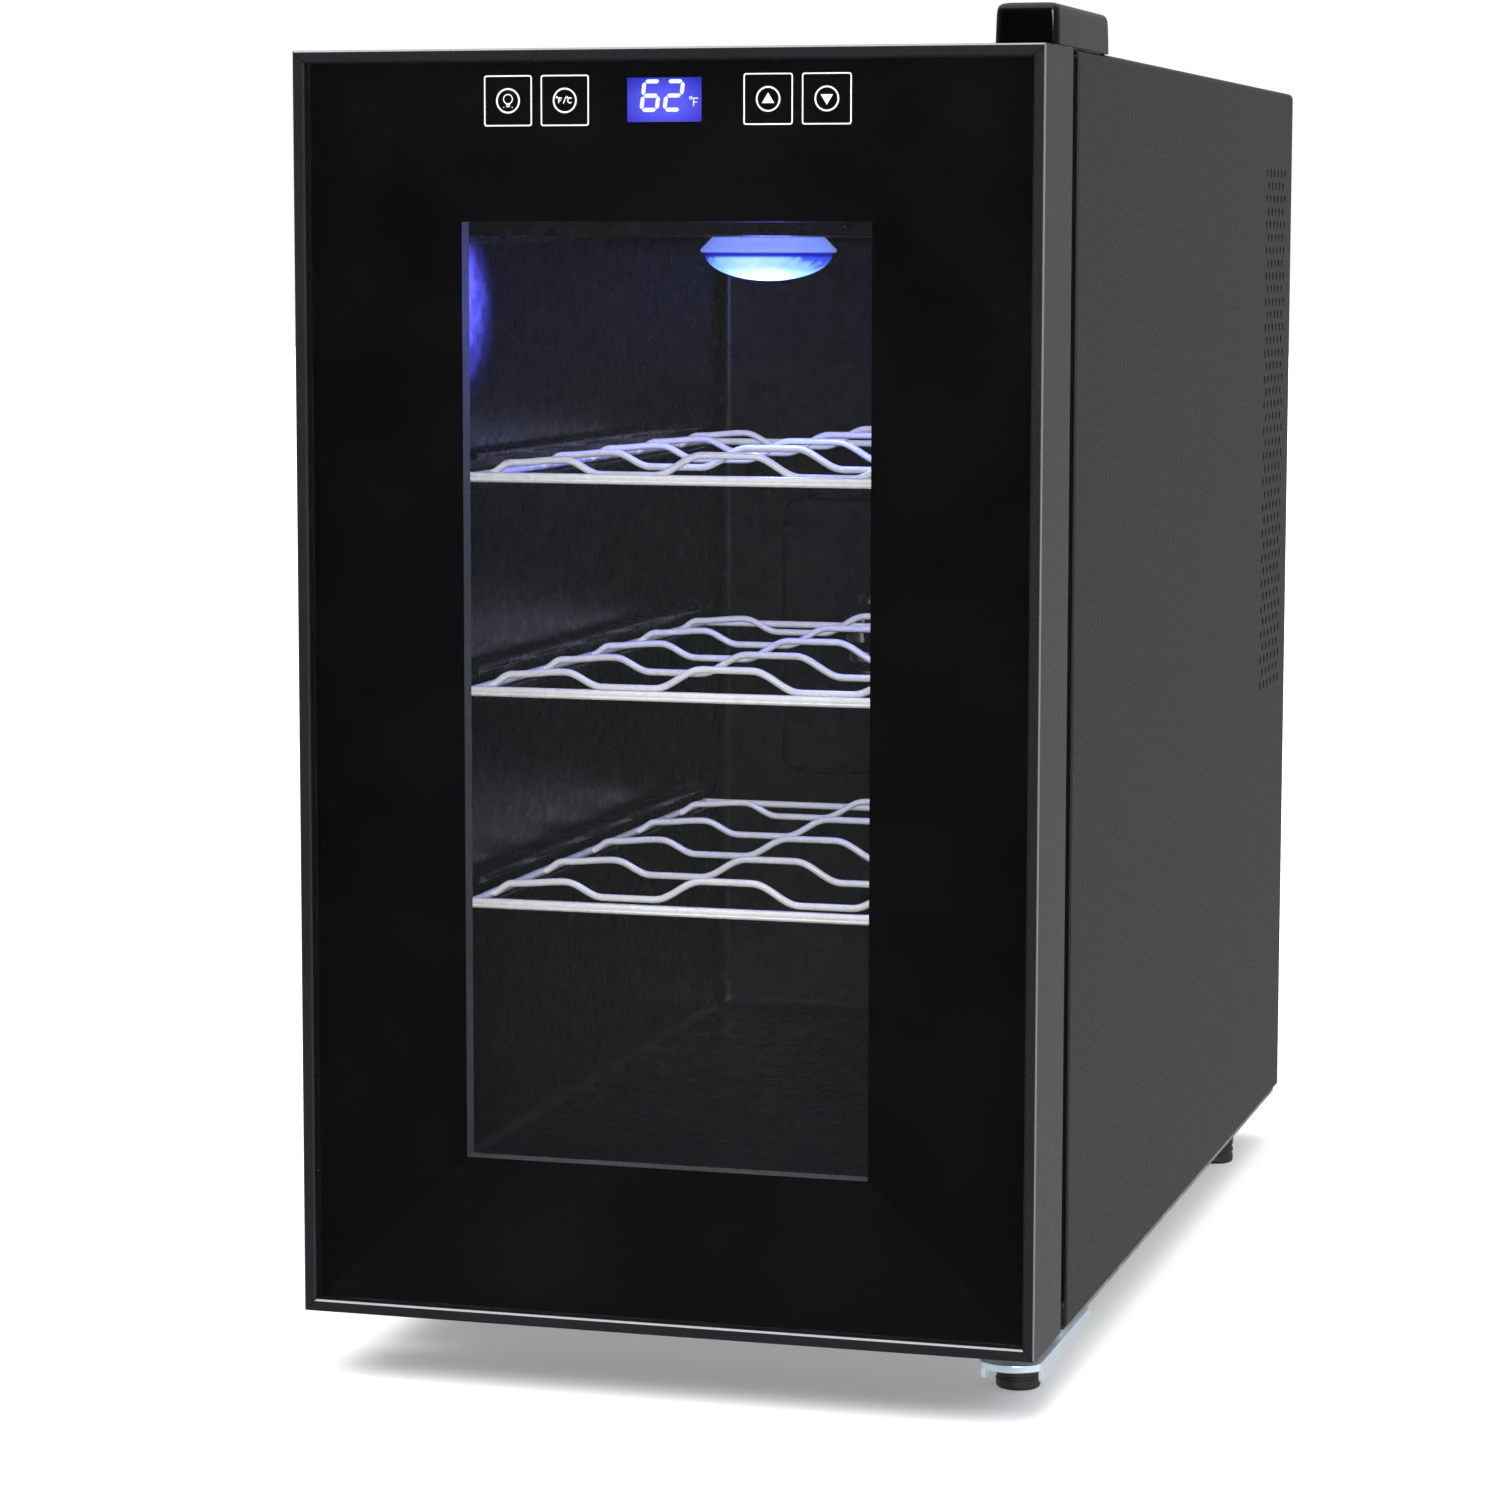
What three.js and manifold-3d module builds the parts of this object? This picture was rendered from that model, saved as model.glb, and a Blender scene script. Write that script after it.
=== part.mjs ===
// A slim free-standing thermoelectric wine cooler with a glass door and three sliding wire shelves.
// Millimetres. X runs across the front, Y from the door to the back, Z up.
// The origin is on the floor under the middle of the case.
import * as THREE from "three";
import { mergeVertices } from "three/addons/utils/BufferGeometryUtils.js";
import Module from "manifold-3d";

// ---- driving dimensions ----

const WIDTH = 259;
const DEPTH = 510;
const HEIGHT = 470;
const SIDE = WIDTH / 2;
const FRONT = -DEPTH / 2;
const BACK = DEPTH / 2;
const GAP = 0.3; // clearance between neighbouring pieces

const CASE_TOP = 456.5;
const CASE_BOTTOM = 23;
const PAN_BOTTOM = 20;
const SHEET = 1;

const DOOR_DEPTH = 43.5;
const DOOR_TOP = CASE_TOP - GAP;
const DOOR_BOTTOM = CASE_BOTTOM;
const DOOR_BACK = FRONT + DOOR_DEPTH;
const GASKET_ROOM = 10; // between the door and the case
const CASE_FRONT = DOOR_BACK + GASKET_ROOM;

const CAVITY_SIDE = 94;
const CAVITY_FLOOR = 66;
const CAVITY_CEILING = 394.5;
const CAVITY_BACK = 140;
const LINER_WALL = 2.5;
const LINER_OUTER = {
  side: CAVITY_SIDE + LINER_WALL,
  back: CAVITY_BACK + LINER_WALL,
  bottom: CAVITY_FLOOR - LINER_WALL,
  top: CAVITY_CEILING + LINER_WALL,
};
const INSIDE = SIDE - SHEET - GAP; // half the room between the side walls
const INSIDE_TOP = CASE_TOP - SHEET - GAP;
const FILL_BOTTOM = CASE_BOTTOM + 6; // the liner's flange and the foam stand above the base pan
const FOAM_BACK = 160.2;
const PLATE_Y = [160.5, 161.5]; // the mounting plate
const PANEL_Y = [251.5, 252.5]; // the rear panel

const WINDOW_SIDE = 71;
const WINDOW_BOTTOM = 80;
const WINDOW_TOP = 399;

const HINGE_X = 118;
const HINGE_Y = -225;
const PIN_RADIUS = 3;
const BORE_RADIUS = 3.5;
const BRACKET_INNER_X = 108;
const BRACKET_MID_X = (BRACKET_INNER_X + SIDE) / 2;

const SHELF_LEVELS = [160, 235.3, 310.6];
const SHELF_WIRE = 1.5; // radius of the shelf wire
const SHELF_RAIL_X = 88;
// Half of a cross wire's wave: distance from the middle, then height over the rails.
const SHELF_PROFILE = [
  [0, 7.6],
  [9, 7.6],
  [27, 0.3],
  [46, 0.3],
  [60, 5.3],
  [80, 4],
  [SHELF_RAIL_X, 0],
];
const SHELF_WAVE_PITCH = 58;
const SHELF_WAVES = 5;
const SHELF_FIRST_WAVE = -175;

const COOLING_Z = 230; // height of the cooling unit's centre
const HOT_FAN = 120;
const COLD_FAN = 60;
const COLD_HOLE = 22; // half the side of the hole for the cold block

const FOOT_RADIUS = 7.75;
const FEET = {
  foot_front_right: [112, -199],
  foot_front_left: [-113, -150],
  foot_rear_right: [113, 190],
  foot_rear_left: [-113, 190],
};

// ---- solids from three.js geometry ----

const wasm = await Module();
wasm.setup();

// Turns a closed geometry into a solid that can be joined and cut.
function solid(geometry) {
  const bare = geometry.clone();
  bare.deleteAttribute("normal");
  bare.deleteAttribute("uv");
  const merged = mergeVertices(bare, 1e-4);
  const vertProperties = merged.attributes.position.array;
  const triVerts = Uint32Array.from(merged.index.array);
  return new wasm.Manifold(new wasm.Mesh({ numProp: 3, vertProperties, triVerts }));
}

function geometryOf(body) {
  const mesh = body.getMesh();
  const geometry = new THREE.BufferGeometry();
  geometry.setAttribute("position", new THREE.BufferAttribute(mesh.vertProperties, 3));
  geometry.setIndex(new THREE.BufferAttribute(mesh.triVerts, 1));
  return geometry;
}

function join(first, ...others) {
  return others.reduce((whole, other) => whole.add(other), first);
}

function cut(body, ...tools) {
  return tools.reduce((rest, tool) => rest.subtract(tool), body);
}

function box([x0, x1], [y0, y1], [z0, z1]) {
  const block = new THREE.BoxGeometry(x1 - x0, y1 - y0, z1 - z0);
  return solid(block.translate((x0 + x1) / 2, (y0 + y1) / 2, (z0 + z1) / 2));
}

// An upright round bar.
function rodZ(radius, [z0, z1], x = 0, y = 0, sides = 24) {
  const bar = new THREE.CylinderGeometry(radius, radius, z1 - z0, sides);
  return solid(bar.rotateX(Math.PI / 2).translate(x, y, (z0 + z1) / 2));
}

// A round bar that points to the back.
function rodY(radius, [y0, y1], x = 0, z = 0, sides = 24) {
  const bar = new THREE.CylinderGeometry(radius, radius, y1 - y0, sides);
  return solid(bar.translate(x, (y0 + y1) / 2, z));
}

function outline(points) {
  return new THREE.Shape(points.map(([a, b]) => new THREE.Vector2(a, b)));
}

// Shapes drawn in (x, y), (x, z) and (y, z), pulled out along the third axis.
function pull(shape, depth) {
  return new THREE.ExtrudeGeometry(shape, { depth, bevelEnabled: false, curveSegments: 6 });
}

function pullZ(shape, [z0, z1]) {
  return solid(pull(shape, z1 - z0).translate(0, 0, z0));
}

function pullY(shape, [y0, y1]) {
  return solid(pull(shape, y1 - y0).rotateX(Math.PI / 2).translate(0, y1, 0));
}

function pullX(shape, [x0, x1]) {
  const turn = new THREE.Matrix4().makeBasis(
    new THREE.Vector3(0, 1, 0),
    new THREE.Vector3(0, 0, 1),
    new THREE.Vector3(1, 0, 0),
  );
  return solid(pull(shape, x1 - x0).applyMatrix4(turn).translate(x0, 0, 0));
}

// A body of revolution about Z from (radius, z) pairs that start and end on the axis.
function turned(profile, sides = 24) {
  const points = profile.map(([r, z]) => new THREE.Vector2(r, z));
  return solid(new THREE.LatheGeometry(points, sides).rotateX(Math.PI / 2));
}

// A flat rectangular ring that faces the front.
function ring(outer, inner, [y0, y1]) {
  const hole = box([-inner.side, inner.side], [y0 - 1, y1 + 1], [inner.bottom, inner.top]);
  return cut(box([-outer.side, outer.side], [y0, y1], [outer.bottom, outer.top]), hole);
}

// ---- materials ----

function finish(color, roughness, metalness, more = {}) {
  return new THREE.MeshStandardMaterial({ color, roughness, metalness, flatShading: true, ...more });
}

const PAINT = finish(0x2f2f31, 0.5, 0.3);
const FRAME = finish(0x38383c, 0.4, 0.4);
const GLOSS_BLACK = finish(0x0c0c0d, 0.12, 0);
const BLACK_PLASTIC = finish(0x141415, 0.45, 0);
const LINER_PLASTIC = finish(0x0f0f11, 0.3, 0);
const RUBBER = finish(0x0d0d0e, 0.8, 0);
const GLASS = finish(0x20242a, 0.05, 0, { transparent: true, opacity: 0.3 });
const ZINC = finish(0xbcc8d2, 0.3, 0.9);
const CHROME = finish(0xd8d8dc, 0.12, 1);
const STEEL = finish(0x8b8e92, 0.4, 0.9);
const ALUMINIUM = finish(0xb4b6ba, 0.4, 0.9);
const FOAM = finish(0xd9c79a, 0.95, 0);
const CERAMIC = finish(0xf0f0ec, 0.6, 0);
const CIRCUIT = finish(0x1d4a2c, 0.5, 0);
const LENS = finish(0xdfe9ff, 0.25, 0, { emissive: 0x6f9dff });
const SCREEN = finish(0x3a44c8, 0.3, 0, { emissive: 0x2a35d0 });

// ---- case ----

const VENT_SLOT = 3.6;
const VENT_PITCH = 10.8;
const VENT_ROWS = 21;
const VENT_BOTTOM = 204;
const VENT_Y = [188, 238];

function cabinetWrapper() {
  const corner = 2;
  const half = SIDE - corner;
  const shape = new THREE.Shape();
  shape.moveTo(-SIDE, CASE_BOTTOM);
  shape.lineTo(-SIDE + SHEET, CASE_BOTTOM);
  shape.lineTo(-SIDE + SHEET, CASE_TOP - SHEET);
  shape.lineTo(SIDE - SHEET, CASE_TOP - SHEET);
  shape.lineTo(SIDE - SHEET, CASE_BOTTOM);
  shape.lineTo(SIDE, CASE_BOTTOM);
  shape.lineTo(SIDE, CASE_TOP - corner);
  shape.absarc(half, CASE_TOP - corner, corner, 0, Math.PI / 2, false);
  shape.lineTo(-half, CASE_TOP);
  shape.absarc(-half, CASE_TOP - corner, corner, Math.PI / 2, Math.PI, false);
  let wrapper = pullY(shape, [CASE_FRONT, BACK]);
  for (let row = 0; row < VENT_ROWS; row++) {
    const z = VENT_BOTTOM + row * VENT_PITCH;
    wrapper = cut(wrapper, box([-WIDTH, WIDTH], VENT_Y, [z, z + VENT_SLOT]));
  }
  return cut(wrapper, ...topScrewHoles());
}

function basePan() {
  const plate = box(
    [-INSIDE, INSIDE],
    [CASE_FRONT + GAP, PANEL_Y[0] - GAP],
    [PAN_BOTTOM, PAN_BOTTOM + 1.5],
  );
  return cut(plate, ...lowerScrewHoles());
}

const INLET_X = -85;
const INLET_Z = 62;
const INLET_BODY = [14, 11]; // half its width and height

// The back panel has a round grille of level slots behind the fan and a hole for the power inlet.
function rearPanel() {
  let panel = box([-INSIDE, INSIDE], PANEL_Y, [CASE_BOTTOM + 1, INSIDE_TOP]);
  const through = [PANEL_Y[0] - 1, PANEL_Y[1] + 1];
  const grille = HOT_FAN / 2 - 4;
  const pitch = 9;
  for (let row = -5; row <= 5; row++) {
    const half = Math.sqrt(grille ** 2 - (row * pitch) ** 2);
    const z = COOLING_Z + row * pitch;
    panel = cut(panel, box([-half, half], through, [z - 2.5, z + 2.5]));
  }
  const [halfX, halfZ] = INLET_BODY.map((half) => half + 0.5);
  const inlet = box([INLET_X - halfX, INLET_X + halfX], through, [INLET_Z - halfZ, INLET_Z + halfZ]);
  return cut(panel, inlet);
}

// A mains socket: a body with a flange and an open recess for the lead's connector.
function powerInlet() {
  const [x, z] = INLET_BODY;
  const flangeFront = PANEL_Y[1] + GAP;
  const body = box([-x, x], [228, flangeFront], [-z, z]);
  const flange = box([-x - 6, x + 6], [flangeFront, BACK], [-z - 3, z + 3]);
  const recess = box([-x + 2.5, x - 2.5], [238, BACK + 1], [-z + 3, z - 3]);
  return cut(join(body, flange), recess);
}

const LEDGE = 3; // thickness of a shelf ledge and of the guide above it

// The moulded liner: a front flange, the cavity, and a grooved ledge for each shelf on both sides.
function innerLiner() {
  const { side, back, bottom, top } = LINER_OUTER;
  const flange = box([-INSIDE, INSIDE], [CASE_FRONT, CASE_FRONT + 2], [FILL_BOTTOM, INSIDE_TOP]);
  const shell = box([-side, side], [CASE_FRONT, back], [bottom, top]);
  const cavity = box(
    [-CAVITY_SIDE, CAVITY_SIDE],
    [CASE_FRONT - 1, CAVITY_BACK],
    [CAVITY_FLOOR, CAVITY_CEILING],
  );
  let liner = cut(join(flange, shell), cavity, coldHole([CAVITY_BACK - 1, back + 1], COLD_HOLE));
  for (const level of SHELF_LEVELS) {
    for (const hand of [-1, 1]) {
      const under = level - SHELF_WIRE - GAP - LEDGE;
      liner = join(liner, shelfLedge(hand, under), shelfLedge(hand, level + SHELF_WIRE + 4));
    }
  }
  return liner;
}

function shelfLedge(hand, z) {
  const reach = [CAVITY_SIDE - 7.5, CAVITY_SIDE + 1].map((x) => x * hand).sort((a, b) => a - b);
  return box(reach, [-192, 104], [z, z + LEDGE]);
}

// The square hole that the cold block passes through.
function coldHole(yRange, half) {
  return box([-half, half], yRange, [COOLING_Z - half, COOLING_Z + half]);
}

function foamInsulation() {
  const { side, back, bottom, top } = LINER_OUTER;
  const width = INSIDE - GAP;
  const depth = [CASE_FRONT + 2 + GAP, FOAM_BACK];
  const block = box([-width, width], depth, [FILL_BOTTOM, CASE_TOP - 2 * SHEET]);
  const room = box([-side - GAP, side + GAP], [CASE_FRONT, back + GAP], [bottom - GAP, top + GAP]);
  return cut(block, room, coldHole([CAVITY_BACK, FOAM_BACK + 1], COLD_HOLE));
}

function mountingPlate() {
  const plate = box([-INSIDE, INSIDE], PLATE_Y, [FILL_BOTTOM, INSIDE_TOP]);
  return cut(plate, coldHole([PLATE_Y[0] - 1, PLATE_Y[1] + 1], COLD_HOLE + 1));
}

function plainFoot() {
  const r = FOOT_RADIUS;
  const profile = [
    [0, 0],
    [r - 1, 0],
    [r, 1.2],
    [r + 0.8, PAN_BOTTOM],
    [0, PAN_BOTTOM],
  ];
  return turned(profile);
}

// The foot under the hinge has a thin stem that screws into the bracket.
function stemFoot() {
  const r = FOOT_RADIUS;
  const shoulder = 11.5;
  const stem = BRACKET_BOTTOM + 2;
  const profile = [
    [0, 0],
    [r - 1, 0],
    [r, 1.2],
    [r, shoulder],
    [PIN_RADIUS, shoulder],
    [PIN_RADIUS, stem],
    [0, stem],
  ];
  return turned(profile);
}

// A pan-head screw that points up from z = 0, its head below.
function panScrew(headRadius, shankRadius, shank) {
  const h = headRadius * 0.6;
  const profile = [
    [0, -h],
    [headRadius * 0.6, -h],
    [headRadius, -h * 0.4],
    [headRadius, 0],
    [shankRadius, 0],
    [shankRadius, shank],
    [0, shank],
  ];
  return turned(profile, 16);
}

// ---- hinges ----

const BRACKET_BOTTOM = 17.5;
const BRACKET_TOP = 20;
const BRACKET_FRONT = -249;
const BRACKET_BACK = -160;
const LOWER_SCREWS_Y = [-182, -167];
const COVER_Y = [-236, -151];
const TOP_PLATE = 2.5;
const TOP_SCREWS_Y = [-190, -168];

function lowerScrewHoles() {
  return LOWER_SCREWS_Y.map((y) => rodZ(2.2, [10, 30], BRACKET_MID_X, y, 16));
}

function topScrewHoles() {
  return TOP_SCREWS_Y.map((y) => rodZ(2.2, [450, 465], BRACKET_MID_X, y, 16));
}

// A channel of thick sheet, its flanges turned down: a round tongue in front, a round end behind.
function lowerHingeBracket() {
  const wall = 1.6;
  const flangeBottom = 12.5;
  const section = outline([
    [BRACKET_INNER_X, flangeBottom],
    [BRACKET_INNER_X + wall, flangeBottom],
    [BRACKET_INNER_X + wall, BRACKET_BOTTOM],
    [SIDE - wall, BRACKET_BOTTOM],
    [SIDE - wall, flangeBottom],
    [SIDE, flangeBottom],
    [SIDE, BRACKET_TOP],
    [BRACKET_INNER_X, BRACKET_TOP],
  ]);
  const channel = pullY(section, [BRACKET_FRONT - 1, BRACKET_BACK + 1]);
  const half = (SIDE - BRACKET_INNER_X) / 2;
  const plan = new THREE.Shape();
  plan.moveTo(BRACKET_INNER_X, BRACKET_BACK);
  plan.lineTo(BRACKET_INNER_X, BRACKET_FRONT + 5);
  plan.quadraticCurveTo(BRACKET_MID_X - half / 2, BRACKET_FRONT, BRACKET_MID_X, BRACKET_FRONT);
  plan.quadraticCurveTo(BRACKET_MID_X + half / 2, BRACKET_FRONT, SIDE, BRACKET_FRONT + 5);
  plan.lineTo(SIDE, BRACKET_BACK);
  const side = new THREE.Shape();
  side.moveTo(BRACKET_FRONT, BRACKET_TOP);
  side.lineTo(BRACKET_FRONT, BRACKET_BOTTOM);
  side.lineTo(BRACKET_FRONT + 11, flangeBottom);
  side.lineTo(BRACKET_FRONT + 36, flangeBottom);
  side.lineTo(BRACKET_BACK - 8, 15);
  side.quadraticCurveTo(BRACKET_BACK, 15, BRACKET_BACK, BRACKET_TOP);
  const [footX, footY] = FEET.foot_front_right;
  const bracket = channel.intersect(pullZ(plan, [10, 25])).intersect(pullX(side, [100, 140]));
  return cut(
    bracket,
    rodZ(PIN_RADIUS + GAP, [10, 25], HINGE_X, HINGE_Y),
    rodZ(PIN_RADIUS + GAP, [10, 25], footX, footY),
    ...lowerScrewHoles(),
  );
}

function lowerHingePin() {
  const head = rodZ(5, [BRACKET_BOTTOM - 2, BRACKET_BOTTOM]);
  return join(head, rodZ(PIN_RADIUS, [BRACKET_BOTTOM - 1, DOOR_BOTTOM + 11]));
}

function topHingeBracket() {
  const plate = box([110.5, 127], [-233, -154], [CASE_TOP, CASE_TOP + TOP_PLATE]);
  return cut(plate, rodZ(PIN_RADIUS + GAP, [450, 465], HINGE_X, HINGE_Y), ...topScrewHoles());
}

function topHingePin() {
  const top = CASE_TOP + TOP_PLATE;
  const head = rodZ(5, [top, top + 2]);
  return join(head, rodZ(PIN_RADIUS, [DOOR_TOP - 11, top + 1]));
}

// The gloss cap over the upper hinge, open below, with rounded upper corners.
function topHingeCover() {
  const [front, back] = COVER_Y;
  const corner = 3.5;
  const lean = 0.8;
  const shape = new THREE.Shape();
  shape.moveTo(front, CASE_TOP);
  shape.lineTo(back, CASE_TOP);
  shape.lineTo(back - lean, HEIGHT - corner);
  shape.quadraticCurveTo(back - lean, HEIGHT, back - lean - corner, HEIGHT);
  shape.lineTo(front + lean + corner, HEIGHT);
  shape.quadraticCurveTo(front + lean, HEIGHT, front + lean, HEIGHT - corner);
  const wall = 1.5;
  const room = box(
    [BRACKET_INNER_X + wall, SIDE - wall],
    [front + 2.5, back - 2.5],
    [CASE_TOP - 1, HEIGHT - wall],
  );
  return cut(pullX(shape, [BRACKET_INNER_X, SIDE]), room);
}

// A plastic block in the door's corner that turns on the hinge pin; its collar carries the door.
// It is drawn for the lower corner, with z = 0 at the door's bottom edge.
function hingeBush() {
  const block = box([-14, 9.2], [-21, 11], [2.1, 13.8]);
  const collar = rodZ(5.4, [-2.7, 3]);
  return cut(join(block, collar), rodZ(BORE_RADIUS, [-4, 12]));
}

// ---- door ----

const LIP = 4.2; // the frame's edge seen from the front
const RAIL_WALL = 1.8;
const GLASS_FRONT = FRONT + 0.8;
const GLASS_BACK = FRONT + 4.8;
const SEAT = FRONT + 5.2; // the glass rests here

// One side of the door frame, drawn as the top one: its outer face is at z = 0 and it hangs down.
// Both ends are mitred.
function doorRail(length, bushX) {
  const section = outline([
    [FRONT, 0],
    [FRONT, -LIP],
    [SEAT, -LIP],
    [SEAT, -10],
    [SEAT + 2, -10],
    [SEAT + 2, -RAIL_WALL],
    [DOOR_BACK - 2, -RAIL_WALL],
    [DOOR_BACK - 2, -14],
    [DOOR_BACK, -14],
    [DOOR_BACK, 0],
  ]);
  const end = length / 2 - GAP / 2;
  const reach = 15;
  const mitre = outline([
    [-end, 0],
    [end, 0],
    [end - reach, -reach],
    [-end + reach, -reach],
  ]);
  const bar = pullX(section, [-length / 2, length / 2]);
  const rail = bar.intersect(pullY(mitre, [FRONT - 1, DOOR_BACK + 1]));
  return bushX === undefined ? rail : cut(rail, rodZ(5.8, [-5, 5], bushX, HINGE_Y));
}

function outerGlass() {
  const edge = LIP + GAP;
  const side = SIDE - edge;
  return box([-side, side], [GLASS_FRONT, GLASS_BACK], [DOOR_BOTTOM + edge, DOOR_TOP - edge]);
}

const WINDOW = { side: WINDOW_SIDE, bottom: WINDOW_BOTTOM, top: WINDOW_TOP };
const BEZEL_Y = [GLASS_BACK + GAP, -243];
const INNER_GLASS_Y = [-228, -224];

// The window's rectangle, larger by rim at the sides and the bottom and by topRim at the top.
// The openings widen behind the bezel, so that the shelves show from edge to edge.
function aroundWindow(rim, topRim) {
  return { side: WINDOW_SIDE + rim, bottom: WINDOW_BOTTOM - rim, top: WINDOW_TOP + topRim };
}

function windowBezel() {
  return ring({ side: 119, bottom: 41, top: 418 }, WINDOW, BEZEL_Y);
}

function spacerFrame() {
  const y = [BEZEL_Y[1] + GAP, INNER_GLASS_Y[0] - GAP];
  return ring(aroundWindow(18, 12), aroundWindow(10, 4), y);
}

function innerGlass() {
  const { side, bottom, top } = aroundWindow(19, 14);
  return box([-side, side], INNER_GLASS_Y, [bottom, top]);
}

function doorInsulation() {
  const y = [BEZEL_Y[1] + GAP, INNER_GLASS_Y[1]];
  return ring({ side: 127, bottom: 41, top: 421 }, aroundWindow(20, 15), y);
}

function doorLiner() {
  const outer = { side: 115.2, bottom: 37.4, top: 441.8 };
  return ring(outer, aroundWindow(13, 4), [INNER_GLASS_Y[1] + GAP, DOOR_BACK - GAP]);
}

// The seal's inner edge clears the shelves' corners as the door swings.
function doorGasket() {
  const outer = { side: 115, bottom: 37.5, top: 441.5 };
  const inner = { side: 103, bottom: 49.5, top: 429.5 };
  return ring(outer, inner, [DOOR_BACK + GAP, CASE_FRONT - GAP]);
}

function controlBoard() {
  const board = box([-66, 66], [-241.9, -240.3], [422, 452]);
  const chips = [-50, -30, 30, 50].map((x) => box([x - 5, x + 5], [-241, -238], [432, 440]));
  return join(board, ...chips);
}

function lcdModule() {
  return box([-14, 14], [GLASS_BACK + 0.4, -242.2], [430, 445.9]);
}

// ---- lamp ----

const LAMP_Y = -122;
const LAMP_RIM = CAVITY_CEILING - 6.1; // the lens hangs from this height

// A round base that widens downwards from the ceiling.
function lampBase() {
  const bottom = LAMP_RIM + GAP;
  const top = CAVITY_CEILING - GAP;
  const profile = [
    [0, bottom],
    [24.5, bottom],
    [20.5, top],
    [0, top],
  ];
  return turned(profile, 32).translate([0, LAMP_Y, 0]);
}

function ledBoard() {
  return rodZ(12, [LAMP_RIM - 1.5, LAMP_RIM], 0, LAMP_Y);
}

// A shallow dome with an open top.
function lampLens() {
  const radius = 23;
  const wall = 1.5;
  const drop = 9.7;
  const steps = 4;
  const arc = (r, depth) => {
    const angles = Array.from({ length: steps + 1 }, (_, i) => ((i / steps) * Math.PI) / 2);
    return angles.map((a) => [r * Math.sin(a), LAMP_RIM - depth * Math.cos(a)]);
  };
  const outside = arc(radius, drop);
  const inside = arc(radius - wall, drop - wall).reverse();
  return turned([...outside, ...inside], 24).translate([0, LAMP_Y, 0]);
}

// ---- cooling unit ----

// A finned block that faces the front or, with a negative fin length, the back.
function heatSink(side, [base0, base1], fins, finLength) {
  const pitch = (2 * side - 1.4) / (fins - 1);
  const root = finLength < 0 ? base0 + 0.5 : base1 - 0.5;
  const tip = finLength < 0 ? base0 + finLength : base1 + finLength;
  let sink = box([-side, side], [base0, base1], [COOLING_Z - side, COOLING_Z + side]);
  for (let i = 0; i < fins; i++) {
    const x = -side + i * pitch;
    const reach = [Math.min(root, tip), Math.max(root, tip)];
    sink = join(sink, box([x, x + 1.4], reach, [COOLING_Z - side, COOLING_Z + side]));
  }
  return sink;
}

// A square fan frame with a round duct, four struts and a bearing plate at the back.
// It is drawn about its own axis, from y = 0.
function fanFrame(size, depth) {
  const duct = size / 2 - 2.5;
  const half = size / 2;
  const hub = size * 0.17;
  const strut = size * 0.04;
  const struts = [
    box([-half + 1, half - 1], [depth - 3, depth], [-strut / 2, strut / 2]),
    box([-strut / 2, strut / 2], [depth - 3, depth], [-half + 1, half - 1]),
  ];
  const square = box([-half, half], [0, depth], [-half, half]);
  const frame = cut(square, rodY(duct, [-1, depth + 1], 0, 0, 40));
  const bearing = rodY(size * 0.02 + GAP, [-1, depth + 1], 0, 0, 12);
  return cut(join(frame, ...struts, rodY(hub, [depth - 3, depth])), bearing);
}

// Seven pitched blades on a hub, with a short shaft that runs in the frame's bearing.
function fanRotor(size, depth) {
  const hub = size * 0.17;
  const tip = size / 2 - 5.5;
  const length = depth - 5;
  const blades = [];
  const rounded = rodY(tip, [0, length], 0, 0, 40);
  for (let i = 0; i < 7; i++) {
    const blade = new THREE.BoxGeometry(tip + 2, 1.2, length * 1.2);
    blade.translate(tip / 2 + 1, 0, 0).rotateX(Math.PI / 4);
    blade.rotateY((i * 2 * Math.PI) / 7).translate(0, length / 2, 0);
    blades.push(solid(blade).intersect(rounded));
  }
  const shaft = rodY(size * 0.02, [length - 1, depth - 1], 0, 0, 12);
  return join(rodY(hub, [0, length]), ...blades, shaft);
}

// The grille box in front of the cold fan, open at the back.
function coldFanCover() {
  const wall = 2;
  const side = 58;
  const [front, back] = [103, CAVITY_BACK - GAP];
  const [bottom, top] = [COOLING_Z - side, COOLING_Z + side];
  let cover = cut(
    box([-side, side], [front, back], [bottom, top]),
    box([-side + wall, side - wall], [front + wall, back + 1], [bottom + wall, top - wall]),
  );
  for (let row = -3; row <= 3; row++) {
    const z = COOLING_Z + row * 8;
    const half = Math.sqrt(29 ** 2 - (row * 8) ** 2);
    cover = cut(cover, box([-half, half], [front - 1, front + 3], [z - 2, z + 2]));
  }
  const outlet = box([-40, 40], [114, 132], [bottom - 1, top + 1]);
  return cut(cover, outlet);
}

// The supply board on four posts, with its transformer and two capacitors.
function powerBoard() {
  const posts = [-48, 48].flatMap((x) => [62, 118].map((z) => rodY(3, [161.8, 176], x, z, 12)));
  const board = box([-55, 55], [175, 177], [52, 128]);
  const transformer = box([-40, -8], [176, 204], [76, 108]);
  const capacitors = [14, 34].map((x) => rodY(7, [176, 200], x, 92, 16));
  return join(board, ...posts, transformer, ...capacitors);
}

// ---- shelves, drawn with the front bar's middle at z = 0 ----

const BAR_Y = [-199, -196.3];
const RACK_FRONT = -196;
const RACK_BACK = 98;

// One wire that dips for a bottle on each side of a crest in the middle.
class WaveWire extends THREE.Curve {
  constructor(y) {
    super();
    this.y = y;
  }

  getPoint(t, target = new THREE.Vector3()) {
    const x = (2 * t - 1) * SHELF_RAIL_X;
    return target.set(x, this.y, waveHeight(Math.abs(x)));
  }
}

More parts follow.
